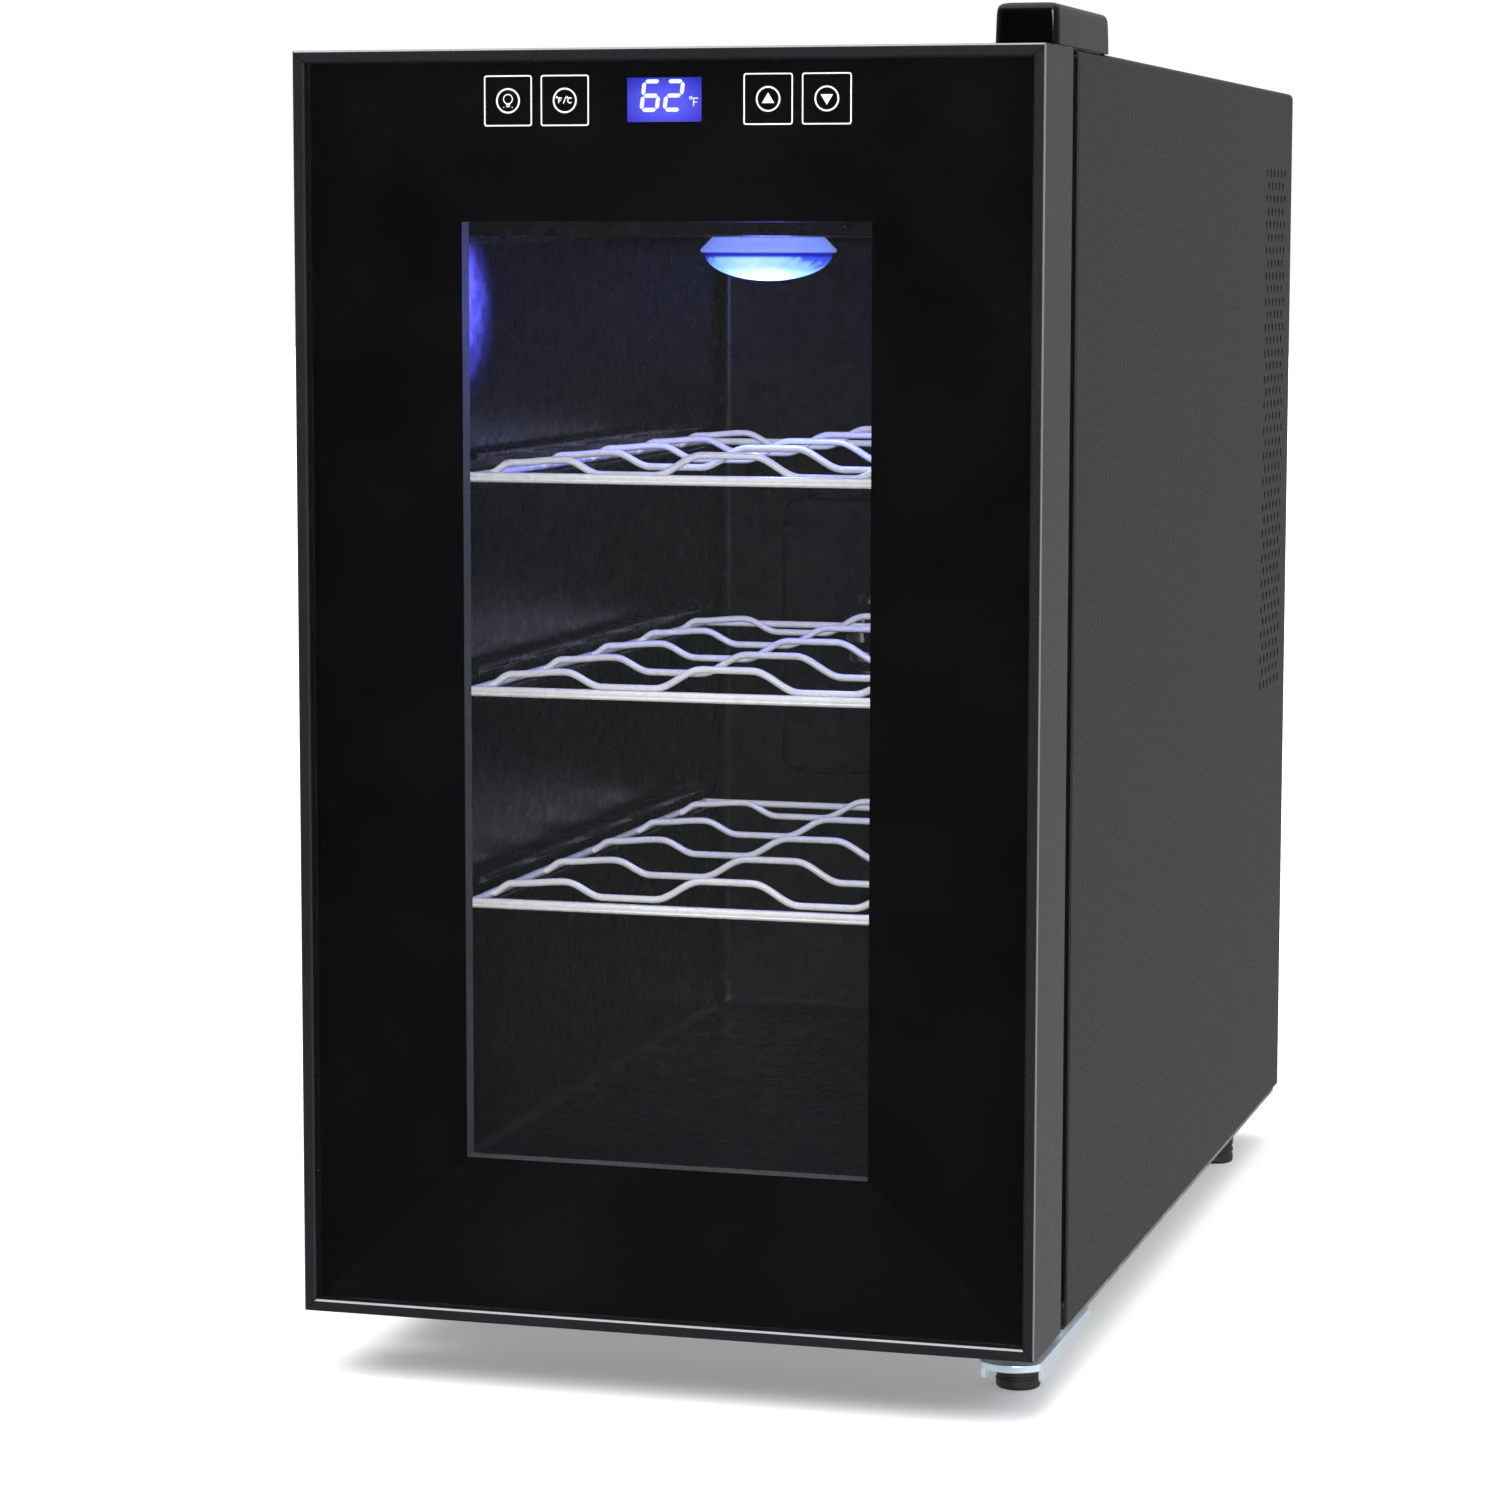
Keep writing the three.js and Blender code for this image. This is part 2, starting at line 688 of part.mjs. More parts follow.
function waveHeight(x) {
  const found = SHELF_PROFILE.findIndex(([end]) => x < end);
  const next = found < 0 ? SHELF_PROFILE.length - 1 : found;
  const [x0, z0] = SHELF_PROFILE[next - 1];
  const [x1, z1] = SHELF_PROFILE[next];
  const ease = (1 - Math.cos((Math.PI * (x - x0)) / (x1 - x0))) / 2;
  return z0 + (z1 - z0) * ease;
}

function wireSection() {
  return new THREE.Shape().absarc(0, 0, SHELF_WIRE, 0, Math.PI * 2, false);
}

function waveWire(y) {
  const wire = new THREE.ExtrudeGeometry(wireSection(), {
    steps: 32,
    extrudePath: new WaveWire(y),
    curveSegments: 3,
    bevelEnabled: false,
  });
  return solid(wire);
}

function shelfRack() {
  const rails = [-SHELF_RAIL_X, SHELF_RAIL_X].map((x) => {
    const rail = new THREE.CylinderGeometry(SHELF_WIRE, SHELF_WIRE, RACK_BACK - RACK_FRONT, 8);
    return solid(rail.translate(x, (RACK_BACK + RACK_FRONT) / 2, 0));
  });
  const reach = SHELF_RAIL_X - 0.2;
  const rear = new THREE.CylinderGeometry(SHELF_WIRE, SHELF_WIRE, 2 * reach, 8);
  rear.rotateZ(Math.PI / 2).translate(0, RACK_BACK - 2, 0);
  const waves = [];
  for (let i = 0; i < SHELF_WAVES; i++) {
    waves.push(waveWire(SHELF_FIRST_WAVE + i * SHELF_WAVE_PITCH));
  }
  return join(solid(rear), ...rails, ...waves);
}

function shelfBar() {
  const shape = new THREE.Shape();
  const [front, back] = BAR_Y;
  shape.moveTo(back, -1.75);
  shape.lineTo(back, 1.75);
  shape.lineTo(front + 0.8, 1.75);
  shape.quadraticCurveTo(front, 1.75, front, 0);
  shape.quadraticCurveTo(front, -1.75, front + 0.8, -1.75);
  return pullX(shape, [-SHELF_RAIL_X - 1.5, SHELF_RAIL_X + 1.5]);
}

// ---- assembly ----

function piece(parent, name, body, material, place = [0, 0, 0]) {
  const mesh = new THREE.Mesh(geometryOf(body), material);
  mesh.name = name;
  mesh.position.set(...place);
  parent.add(mesh);
  return mesh;
}

const cooler = new THREE.Group();

function addCase() {
  const casing = new THREE.Group();
  piece(casing, "cabinet_wrapper", cabinetWrapper(), PAINT);
  piece(casing, "base_pan", basePan(), STEEL);
  piece(casing, "rear_panel", rearPanel(), PAINT);
  piece(casing, "inner_liner", innerLiner(), LINER_PLASTIC);
  piece(casing, "foam_insulation", foamInsulation(), FOAM);
  piece(casing, "mounting_plate", mountingPlate(), STEEL);
  piece(casing, "power_inlet", powerInlet(), BLACK_PLASTIC, [INLET_X, 0, INLET_Z]);
  for (const [name, [x, y]] of Object.entries(FEET)) {
    const foot = name === "foot_front_right" ? stemFoot() : plainFoot();
    piece(casing, name, foot, RUBBER, [x, y, 0]);
  }
  cooler.add(casing);
}

function addHinges() {
  const hinges = new THREE.Group();
  piece(hinges, "lower_hinge_bracket", lowerHingeBracket(), ZINC);
  piece(hinges, "lower_hinge_pin", lowerHingePin(), STEEL, [HINGE_X, HINGE_Y, 0]);
  piece(hinges, "top_hinge_bracket", topHingeBracket(), ZINC);
  piece(hinges, "top_hinge_pin", topHingePin(), STEEL, [HINGE_X, HINGE_Y, 0]);
  piece(hinges, "top_hinge_cover", topHingeCover(), GLOSS_BLACK);
  LOWER_SCREWS_Y.forEach((y, i) => {
    const place = [BRACKET_MID_X, y, BRACKET_BOTTOM];
    piece(hinges, `lower_hinge_screw_${i + 1}`, panScrew(3.6, 1.9, 7), STEEL, place);
  });
  TOP_SCREWS_Y.forEach((y, i) => {
    const place = [BRACKET_MID_X, y, CASE_TOP + TOP_PLATE];
    const screw = piece(hinges, `top_hinge_screw_${i + 1}`, panScrew(3.6, 1.9, 3.2), STEEL, place);
    screw.rotation.x = Math.PI;
  });
  cooler.add(hinges);
}

function addCooling() {
  const unit = new THREE.Group();
  piece(unit, "cold_fan_cover", coldFanCover(), LINER_PLASTIC);
  piece(unit, "cold_fan_frame", fanFrame(COLD_FAN, 12), BLACK_PLASTIC, [0, 109.5, COOLING_Z]);
  piece(unit, "cold_fan_rotor", fanRotor(COLD_FAN, 12), BLACK_PLASTIC, [0, 109.5, COOLING_Z]);
  piece(unit, "cold_heat_sink", heatSink(40, [135.7, 139.7], 11, -13.5), ALUMINIUM);
  piece(unit, "cold_block", box([-20, 20], [140, 157.4], [COOLING_Z - 20, COOLING_Z + 20]), ALUMINIUM);
  piece(unit, "peltier_module", box([-20, 20], [157.7, 161.5], [COOLING_Z - 20, COOLING_Z + 20]), CERAMIC);
  piece(unit, "hot_heat_sink", heatSink(60, [161.9, 168], 16, 32), ALUMINIUM);
  piece(unit, "hot_fan_frame", fanFrame(HOT_FAN, 25), BLACK_PLASTIC, [0, 200.3, COOLING_Z]);
  piece(unit, "hot_fan_rotor", fanRotor(HOT_FAN, 25), BLACK_PLASTIC, [0, 200.3, COOLING_Z]);
  piece(unit, "power_board", powerBoard(), CIRCUIT);
  piece(unit, "lamp_base", lampBase(), BLACK_PLASTIC);
  piece(unit, "led_board", ledBoard(), CIRCUIT);
  piece(unit, "lamp_lens", lampLens(), LENS);
  cooler.add(unit);
}

function addDoor() {
  const door = new THREE.Group();
  const tall = DOOR_TOP - DOOR_BOTTOM;
  const middle = (DOOR_TOP + DOOR_BOTTOM) / 2;
  piece(door, "door_rail_top", doorRail(WIDTH, HINGE_X), FRAME, [0, 0, DOOR_TOP]);
  const bottom = piece(door, "door_rail_bottom", doorRail(WIDTH, -HINGE_X), FRAME, [0, 0, DOOR_BOTTOM]);
  bottom.rotation.y = Math.PI;
  const right = piece(door, "door_rail_right", doorRail(tall), FRAME, [SIDE, 0, middle]);
  right.rotation.y = Math.PI / 2;
  const left = piece(door, "door_rail_left", doorRail(tall), FRAME, [-SIDE, 0, middle]);
  left.rotation.y = -Math.PI / 2;
  piece(door, "outer_glass", outerGlass(), GLASS);
  piece(door, "window_bezel", windowBezel(), GLOSS_BLACK);
  piece(door, "spacer_frame", spacerFrame(), ALUMINIUM);
  piece(door, "inner_glass", innerGlass(), GLASS);
  piece(door, "door_insulation", doorInsulation(), FOAM);
  piece(door, "door_liner", doorLiner(), LINER_PLASTIC);
  piece(door, "door_gasket", doorGasket(), RUBBER);
  piece(door, "control_board", controlBoard(), CIRCUIT);
  piece(door, "lcd_module", lcdModule(), SCREEN);
  piece(door, "hinge_bush_bottom", hingeBush(), BLACK_PLASTIC, [HINGE_X, HINGE_Y, DOOR_BOTTOM]);
  const topBush = cut(hingeBush(), box([-10, 10], [-10, 10], [-5, 0])).mirror([1, 0, 0]);
  const upper = piece(door, "hinge_bush_top", topBush, BLACK_PLASTIC, [HINGE_X, HINGE_Y, DOOR_TOP]);
  upper.rotation.y = Math.PI;
  cooler.add(door);
}

function addShelves() {
  SHELF_LEVELS.forEach((level, i) => {
    const shelf = new THREE.Group();
    shelf.position.z = level;
    piece(shelf, `shelf_${i + 1}_rack`, shelfRack(), CHROME);
    piece(shelf, `shelf_${i + 1}_front_bar`, shelfBar(), CHROME);
    cooler.add(shelf);
  });
}

addCase();
addHinges();
addCooling();
addDoor();
addShelves();

export default cooler;
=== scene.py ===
from math import cos, pi, radians, sin, sqrt

import bmesh
import bpy
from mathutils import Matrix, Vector

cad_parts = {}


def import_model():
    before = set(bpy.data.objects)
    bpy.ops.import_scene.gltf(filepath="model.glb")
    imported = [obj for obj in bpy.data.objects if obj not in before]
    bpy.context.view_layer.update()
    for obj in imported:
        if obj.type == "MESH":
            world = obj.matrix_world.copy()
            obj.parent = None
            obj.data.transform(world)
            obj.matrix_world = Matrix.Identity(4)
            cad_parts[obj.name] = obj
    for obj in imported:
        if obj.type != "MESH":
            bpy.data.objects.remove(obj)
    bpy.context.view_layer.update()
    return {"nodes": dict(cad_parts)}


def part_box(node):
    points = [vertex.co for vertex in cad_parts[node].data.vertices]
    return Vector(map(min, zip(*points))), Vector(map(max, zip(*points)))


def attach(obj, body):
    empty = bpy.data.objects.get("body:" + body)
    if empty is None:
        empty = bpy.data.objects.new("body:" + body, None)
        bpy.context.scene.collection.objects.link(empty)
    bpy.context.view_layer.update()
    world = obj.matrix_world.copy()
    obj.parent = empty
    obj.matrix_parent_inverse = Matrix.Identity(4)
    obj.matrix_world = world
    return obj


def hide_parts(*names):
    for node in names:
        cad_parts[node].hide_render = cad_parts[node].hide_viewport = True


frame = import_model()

# The wine cooler's looks. Shapes are drawn in millimetres in the part's own frame.

scene = bpy.context.scene
MM = 0.001


# ---- solids ----

def mm(node):
    """A CAD node's lowest and highest corners in millimetres."""
    lo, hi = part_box(node)
    return [v / MM for v in lo], [v / MM for v in hi]


def middle(node):
    """The centre of a CAD node's box in millimetres."""
    return [(a + b) / 2 for a, b in zip(*mm(node))]


def add(name, data):
    """A new object in the scene."""
    obj = bpy.data.objects.new(name, data)
    scene.collection.objects.link(obj)
    return obj


def build(name, points, faces):
    """A closed mesh object from points in millimetres, its faces turned outwards."""
    mesh = bpy.data.meshes.new(name)
    mesh.from_pydata([(x * MM, y * MM, z * MM) for x, y, z in points], [], faces)
    bm = bmesh.new()
    bm.from_mesh(mesh)
    bmesh.ops.remove_doubles(bm, verts=bm.verts, dist=1e-6)
    bmesh.ops.recalc_face_normals(bm, faces=bm.faces)
    bm.to_mesh(mesh)
    bm.free()
    return add(name, mesh)


# Where a point (a, b) of a flat outline lies when the outline stands at height h along each axis.
PLACES = {
    "X": lambda a, b, h: (h, a, b),
    "Y": lambda a, b, h: (a, h, b),
    "Z": lambda a, b, h: (a, b, h),
}


def loft(name, loops, closed=False):
    """A skin over loops of equal length: a tube with two ends or, closed, a ring."""
    n = len(loops[0])
    rows = len(loops)
    faces = []
    for r in range(rows if closed else rows - 1):
        s = (r + 1) % rows
        faces += [(r * n + i, r * n + (i + 1) % n, s * n + (i + 1) % n, s * n + i) for i in range(n)]
    if not closed:
        faces += [tuple(range(n)), tuple(range((rows - 1) * n, rows * n))]
    return build(name, [p for loop in loops for p in loop], faces)


def prism(name, outline, span, axis):
    """An outline pulled along an axis. X takes (y, z) points, Y takes (x, z), Z takes (x, y)."""
    return loft(name, [[PLACES[axis](a, b, h) for a, b in outline] for h in span])


def block(name, lo, hi):
    """A box between its lowest and highest corners."""
    outline = [(lo[0], lo[2]), (hi[0], lo[2]), (hi[0], hi[2]), (lo[0], hi[2])]
    return prism(name, outline, (lo[1], hi[1]), "Y")


def rounded(x0, x1, z0, z1, radius, steps=5):
    """A rectangle with round corners."""
    r = max(min(radius, (x1 - x0) / 2 - 0.01, (z1 - z0) / 2 - 0.01), 0.01)
    corners = [(x1 - r, z1 - r), (x0 + r, z1 - r), (x0 + r, z0 + r), (x1 - r, z0 + r)]
    points = []
    for k, (cx, cz) in enumerate(corners):
        for i in range(steps + 1):
            t = pi / 2 * (k + i / steps)
            points.append((cx + r * cos(t), cz + r * sin(t)))
    return points


def centred(x, z, half_x, half_z, radius, steps=5):
    """A rectangle with round corners about a centre."""
    return rounded(x - half_x, x + half_x, z - half_z, z + half_z, radius, steps)


def circle(x, z, radius, sides, start=0.0):
    """A regular outline round a centre; start turns it by a share of one side."""
    turns = [2 * pi * (i + start) / sides for i in range(sides)]
    return [(x + radius * cos(t), z + radius * sin(t)) for t in turns]


def standing(outline, y):
    """An (x, z) outline as points at one depth."""
    return [(x, y, z) for x, z in outline]


def slab(name, lo, hi, section, closed=False):
    """A plate that faces the front. The section lists (inset, y, corner radius) from one end of its
    skin to the other; closed joins the last outline to the first and leaves a window."""
    loops = []
    for inset, y, radius in section:
        outline = rounded(lo[0] + inset, hi[0] - inset, lo[2] + inset, hi[2] - inset, radius)
        loops.append(standing(outline, y))
    return loft(name, loops, closed)


def lathe(name, profile, centre, axis, sides):
    """A body of revolution from (radius, height) pairs."""
    loops = []
    for r, h in profile:
        spots = [PLACES[axis](a, b, h) for a, b in circle(0, 0, r, sides)]
        loops.append([tuple(c + s for c, s in zip(centre, spot)) for spot in spots])
    return loft(name, loops)


def rod(centre, radius, span, axis, sides):
    """A cylinder between two heights along an axis, to drill holes with."""
    rows = [(0, span[0]), (radius, span[0]), (radius, span[1]), (0, span[1])]
    return lathe("rod", rows, centre, axis, sides)


def tube(name, path, radius, sides=12):
    """A round wire along a path."""
    spots = [Vector(p) for p in path]
    loops = []
    up = Vector((0, 1, 0))
    for i, spot in enumerate(spots):
        along = (spots[min(i + 1, len(spots) - 1)] - spots[max(i - 1, 0)]).normalized()
        if abs(along.dot(up)) > 0.95:
            up = Vector((0, 0, 1))
        side = along.cross(up).normalized()
        up = side.cross(along).normalized()
        loops.append([tuple(spot + a * side + b * up) for a, b in circle(0, 0, radius, sides)])
    return loft(name, loops)


def bake(obj):
    """Applies an object's modifiers."""
    graph = bpy.context.evaluated_depsgraph_get()
    mesh = bpy.data.meshes.new_from_object(obj.evaluated_get(graph))
    obj.modifiers.clear()
    obj.data = mesh
    return obj


def combine(obj, tools, operation):
    """Cuts the tools from an object or joins them to it, and removes the tools."""
    for tool in tools:
        step = obj.modifiers.new("step", "BOOLEAN")
        step.operation = operation
        step.solver = "EXACT"
        step.object = tool
    bake(obj)
    for tool in tools:
        bpy.data.objects.remove(tool)
    return obj


def cut(obj, *tools):
    return combine(obj, tools, "DIFFERENCE")


def join(obj, *tools):
    return combine(obj, tools, "UNION")


def merge(name, pieces):
    """Several separate closed bodies as one object."""
    bm = bmesh.new()
    for obj in pieces:
        bm.from_mesh(obj.data)
        bpy.data.objects.remove(obj)
    mesh = bpy.data.meshes.new(name)
    bm.to_mesh(mesh)
    bm.free()
    return add(name, mesh)


def bevel(obj, width, segments=3, angle=30):
    """Rounds the edges that turn by more than an angle in degrees."""
    step = obj.modifiers.new("bevel", "BEVEL")
    step.width = width * MM
    step.segments = segments
    step.limit_method = "ANGLE"
    step.angle_limit = radians(angle)
    return bake(obj)


def smooth(obj, angle=35):
    """Smooth shading that keeps flat faces flat and sharp edges sharp."""
    mesh = obj.data
    mesh.polygons.foreach_set("use_smooth", [True] * len(mesh.polygons))
    mesh.set_sharp_from_angle(angle=radians(angle))
    step = obj.modifiers.new("normals", "WEIGHTED_NORMAL")
    step.keep_sharp = True
    return bake(obj)


def piece(obj, body, slot, material, *nodes, angle=35):
    """Gives a finished shape its shading, material and body, and hides the CAD nodes it stands for; slot is
    not used.
    """
    smooth(obj, angle)
    obj.data.materials.clear()
    obj.data.materials.append(material)
    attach(obj, body)
    if nodes:
        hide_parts(*nodes)
    return obj


# ---- materials ----

def linear(*levels):
    """An sRGB colour, 0 to 255, as linear light."""
    shares = [v / 255 for v in levels]
    return tuple(s / 12.92 if s <= 0.04045 else ((s + 0.055) / 1.055) ** 2.4 for s in shares)


def add_node(tree, kind, inputs=None, **settings):
    """A shader node with its settings; an input takes a value or another node's output."""
    made = tree.nodes.new("ShaderNode" + kind)
    for key, value in settings.items():
        setattr(made, key, value)
    for key, value in (inputs or {}).items():
        if isinstance(value, bpy.types.NodeSocket):
            tree.links.new(value, made.inputs[key])
        else:
            made.inputs[key].default_value = value
    return made


class Shader:
    """A node material around one Principled shader, with helpers for procedural detail."""

    def __init__(self, name, **sockets):
        self.material = bpy.data.materials.new(name)
        self.material.use_nodes = True
        self.tree = self.material.node_tree
        self.bsdf = self.tree.nodes["Principled BSDF"]
        self.place = self.tree.nodes.new("ShaderNodeTexCoord").outputs["Object"]
        for socket, value in sockets.items():
            self.bsdf.inputs[socket.replace("_", " ")].default_value = value

    def feed(self, socket, source):
        """Links an output to one of the shader's inputs."""
        self.tree.links.new(source, self.bsdf.inputs[socket])

    def node(self, kind, inputs=None, **settings):
        return add_node(self.tree, kind, inputs, **settings)

    def math(self, operation, a, b):
        return self.node("Math", {0: a, 1: b}, operation=operation).outputs[0]

    def parts(self, vector):
        """A vector's X, Y and Z."""
        return self.node("SeparateXYZ", {"Vector": vector}).outputs

    def vector(self, operation, a, b=(0, 0, 0)):
        return self.node("VectorMath", {0: a, 1: b}, operation=operation).outputs

    def noise(self, size, detail=2.0, stretch=None):
        """Noise with features of about size millimetres."""
        where = self.place
        if stretch:
            where = self.vector("MULTIPLY", where, stretch)[0]
        inputs = {"Vector": where, "Scale": 1 / (size * MM), "Detail": detail}
        return self.node("TexNoise", inputs).outputs["Fac"]

    def spread(self, factor, low, high, start=0.35, stop=0.65):
        """A factor that runs from start to stop, as one that runs from low to high."""
        inputs = {"Value": factor, "From Min": start, "From Max": stop, "To Min": low, "To Max": high}
        return self.node("MapRange", inputs).outputs["Result"]

    def mix(self, factor, a, b):
        """A blend from one colour to another."""
        made = self.node("Mix", {"Factor": factor}, data_type="RGBA")
        for index, colour in ((6, a), (7, b)):
            if isinstance(colour, bpy.types.NodeSocket):
                self.tree.links.new(colour, made.inputs[index])
            else:
                made.inputs[index].default_value = (*colour, 1)
        return made.outputs[2]

    def colour(self, base, vary, size):
        """Slow colour variation around a base colour."""
        factor = self.spread(self.noise(size, 3.0), 0, 1)
        low = [c * (1 - vary) for c in base]
        high = [c * (1 + vary) for c in base]
        self.feed("Base Color", self.mix(factor, low, high))

    def rough(self, low, high, size):
        """Roughness that drifts between two values."""
        self.feed("Roughness", self.spread(self.noise(size), low, high))

    def bump(self, factor, height):
        """Relief of that height in millimetres."""
        inputs = {"Height": factor, "Distance": height * MM, "Strength": 1.0}
        self.feed("Normal", self.node("Bump", inputs).outputs["Normal"])


def surface(name, base, rough, vary, grain, height, stretch=None, **sockets):
    """A plain material: slow colour variation, a fine grain in the relief and in the gloss."""
    made = Shader(name, **sockets)
    made.colour(linear(*base), vary, 35)
    made.rough(rough * 0.88, rough * 1.12, grain * 6)
    made.bump(made.noise(grain, 3.0, stretch), height)
    return made.material


CASE_PAINT = surface("case_paint", (22, 22, 23), 0.44, 0.05, 0.3, 0.005, Specular_IOR_Level=0.26)


def door_frame():
    """Dark lacquer with a painted highlight: a bright, more metallic colour along the front edges that
    point up or, on the right-hand rail, to the right, where the light catches them."""
    made = Shader("door_frame")
    normal = made.parts(made.node("TexCoord").outputs["Normal"])
    ahead = made.spread(normal["Y"], 0, 1, -0.3, -0.45)
    on_right_rail = made.spread(made.parts(made.place)["X"], 0, 1, 0.1, 0.11)
    right = made.math("MULTIPLY", normal["X"], on_right_rail)
    lit_facing = made.spread(made.math("MAXIMUM", normal["Z"], right), 0, 1, 0.3, 0.45)
    # Painted highlight: edge marks the front faces that turn up, or right on the right-hand rail, towards the
    # light.
    edge = made.math("MULTIPLY", ahead, lit_facing)
    lacquer = made.mix(made.spread(made.noise(35, 3.0), 0, 1), linear(30, 29, 32), linear(33, 32, 36))
    made.feed("Base Color", made.mix(edge, lacquer, linear(128, 127, 130)))
    made.feed("Metallic", made.spread(edge, 0.35, 0.6, 0, 1))
    made.rough(0.27, 0.33, 1.5)
    made.bump(made.noise(0.25, 3.0, (1, 1, 0.04)), 0.004)
    return made.material


DOOR_FRAME = door_frame()
GLOSS_COVER = surface("gloss_cover", (3, 3, 4), 0.1, 0.1, 2.0, 0.002, Specular_IOR_Level=0.18)
BLACK_PLASTIC = surface("black_plastic", (17, 17, 18), 0.42, 0.12, 0.35, 0.02)
LINER = surface("liner_plastic", (11, 11, 12), 0.28, 0.06, 1.2, 0.0008, Specular_IOR_Level=0.3)
DOOR_LINER = surface("door_liner_plastic", (22, 22, 24), 0.3, 0.1, 0.5, 0.012)
FOOT_RUBBER = surface("foot_rubber", (15, 15, 16), 0.6, 0.15, 0.5, 0.03)
SEAL_RUBBER = surface("gasket_rubber", (13, 13, 14), 0.55, 0.12, 0.6, 0.015)
BEZEL = surface("bezel_grey", (74, 76, 78), 0.6, 0.06, 0.3, 0.003, Specular_IOR_Level=0.1)
SPACER = surface("spacer_black", (24, 25, 28), 0.28, 0.1, 0.3, 0.005, Metallic=0.4)
PIN_STEEL = surface("pin_steel", (168, 170, 174), 0.28, 0.08, 0.3, 0.004, (1, 1, 12), Metallic=1.0)
DARK_STEEL = surface("screw_steel", (58, 58, 62), 0.32, 0.15, 0.3, 0.006, Metallic=0.9)
BARE_ALUMINIUM = surface(
    "bare_aluminium", (196, 198, 202), 0.32, 0.06, 0.25, 0.006, (0.05, 1, 1), Metallic=1.0
)
CERAMIC = surface("white_ceramic", (232, 230, 222), 0.55, 0.04, 0.5, 0.01)
CHROME = surface("chrome_wire", (246, 246, 248), 0.26, 0.03, 1.0, 0.002, Metallic=0.1, Coat_Weight=0.2)


def galvanised():
    """Zinc spangle: flat crystals of slightly different grey."""
    made = Shader("galvanised_sheet", Metallic=0.95)
    cells = made.node("TexVoronoi", {"Vector": made.place, "Scale": 1 / (7 * MM)})
    tone = made.spread(cells.outputs["Color"], 0, 1, 0.1, 0.9)
    made.feed("Base Color", made.mix(tone, linear(140, 145, 150), linear(188, 192, 197)))
    made.rough(0.3, 0.46, 9)
    made.bump(made.noise(0.8), 0.008)
    return made.material


def zinc():
    """Bright passivated zinc whose blue cast comes and goes slowly."""
    made = Shader("zinc_plate", Metallic=0.55)
    drift = made.spread(made.noise(16, 3.0), 0, 1, 0.3, 0.7)
    made.feed("Base Color", made.mix(drift, linear(196, 217, 230), linear(218, 218, 226)))
    made.rough(0.3, 0.42, 6)
    made.bump(made.noise(0.5, 3.0), 0.002)
    return made.material


def foam(name, tone):
    """Rigid foam with a fine cellular skin."""
    made = Shader(name)
    cells = made.node("TexVoronoi", {"Vector": made.place, "Scale": 1 / (1.4 * MM)}).outputs["Distance"]
    made.colour(tone, 0.14, 18)
    made.rough(0.8, 0.95, 4)
    made.bump(cells, 0.25)
    return made.material


def circuit():
    """Green lacquer with paler tracks."""
    made = Shader("circuit_board")
    tracks = made.node("TexVoronoi", {"Vector": made.place, "Scale": 1 / (5 * MM)}, distance="MANHATTAN")
    lines = made.spread(tracks.outputs["Distance"], 0, 1, 0.28, 0.32)
    made.feed("Base Color", made.mix(lines, linear(20, 74, 42), linear(34, 104, 60)))
    made.rough(0.3, 0.45, 3)
    made.bump(lines, 0.03)
    return made.material


GALVANISED = galvanised()
ZINC = zinc()
FOAM = foam("insulation_foam", linear(58, 54, 46))
DOOR_FOAM = foam("door_foam", linear(26, 26, 28))
CIRCUIT = circuit()


def border_ink_and_reflection(name, level):
    """Black ink on the back of the glass, with the faintest unevenness; a lighter level is painted
    reflection.
    """
    made = Shader(name, Specular_IOR_Level=0.1)
    made.colour(linear(level, level, level + 1), 0.08, 60)
    made.rough(0.3, 0.42, 30)
    made.bump(made.noise(3), 0.001)
    return made.material


def clear_glass(name, tint, alpha, rough, ior):
    """A thin see-through pane: alpha is the share of light that it stops."""
    made = Shader(name, Alpha=alpha, IOR=ior)
    made.colour(tint, 0.05, 80)
    made.rough(rough * 0.8, rough * 1.2, 60)
    made.bump(made.noise(90), 0.002)
    return made.material


OUTER_GLASS = clear_glass("outer_glass", linear(3, 3, 4), 0.1, 0.03, 1.6)
INNER_GLASS = clear_glass("inner_glass", linear(60, 61, 62), 0.1, 0.12, 1.5)


def glowing(name, colour, strength, rough=0.4):
    """Printed marks and lit segments: a flat glow with slight unevenness."""
    made = Shader(name, Roughness=rough, Emission_Strength=strength)
    tone = made.spread(made.noise(2.5), 0.9, 1.05)
    lit = made.node("VectorMath", {0: colour, "Scale": tone}, operation="SCALE").outputs[0]
    made.feed("Emission Color", lit)
    made.colour(colour, 0.05, 3)
    return made.material


def screen():
    """A blue back-lit display: brightest in the middle, darker near its edges."""
    made = Shader("lcd_screen", Roughness=0.25, Emission_Strength=1.0)
    (x0, _, z0), (x1, _, z1) = mm("lcd_module")
    spot = made.parts(made.place)
    lift = made.math("SUBTRACT", spot["Z"], (z0 + z1) / 2 * MM)
    across = made.math("DIVIDE", spot["X"], (x1 - x0) / 2 * MM)
    upwards = made.math("DIVIDE", lift, (z1 - z0) / 2 * MM)
    away = made.node("CombineXYZ", {"X": across, "Y": upwards}).outputs[0]
    reach = made.vector("LENGTH", away)["Value"]
    edge = made.spread(reach, 0, 1, 0.45, 1.25)
    lit = made.mix(edge, linear(92, 92, 240), linear(44, 44, 190))
    made.feed("Emission Color", lit)
    made.feed("Base Color", made.mix(edge, linear(40, 40, 120), linear(20, 20, 90)))
    made.bump(made.noise(0.3), 0.002)
    return made.material


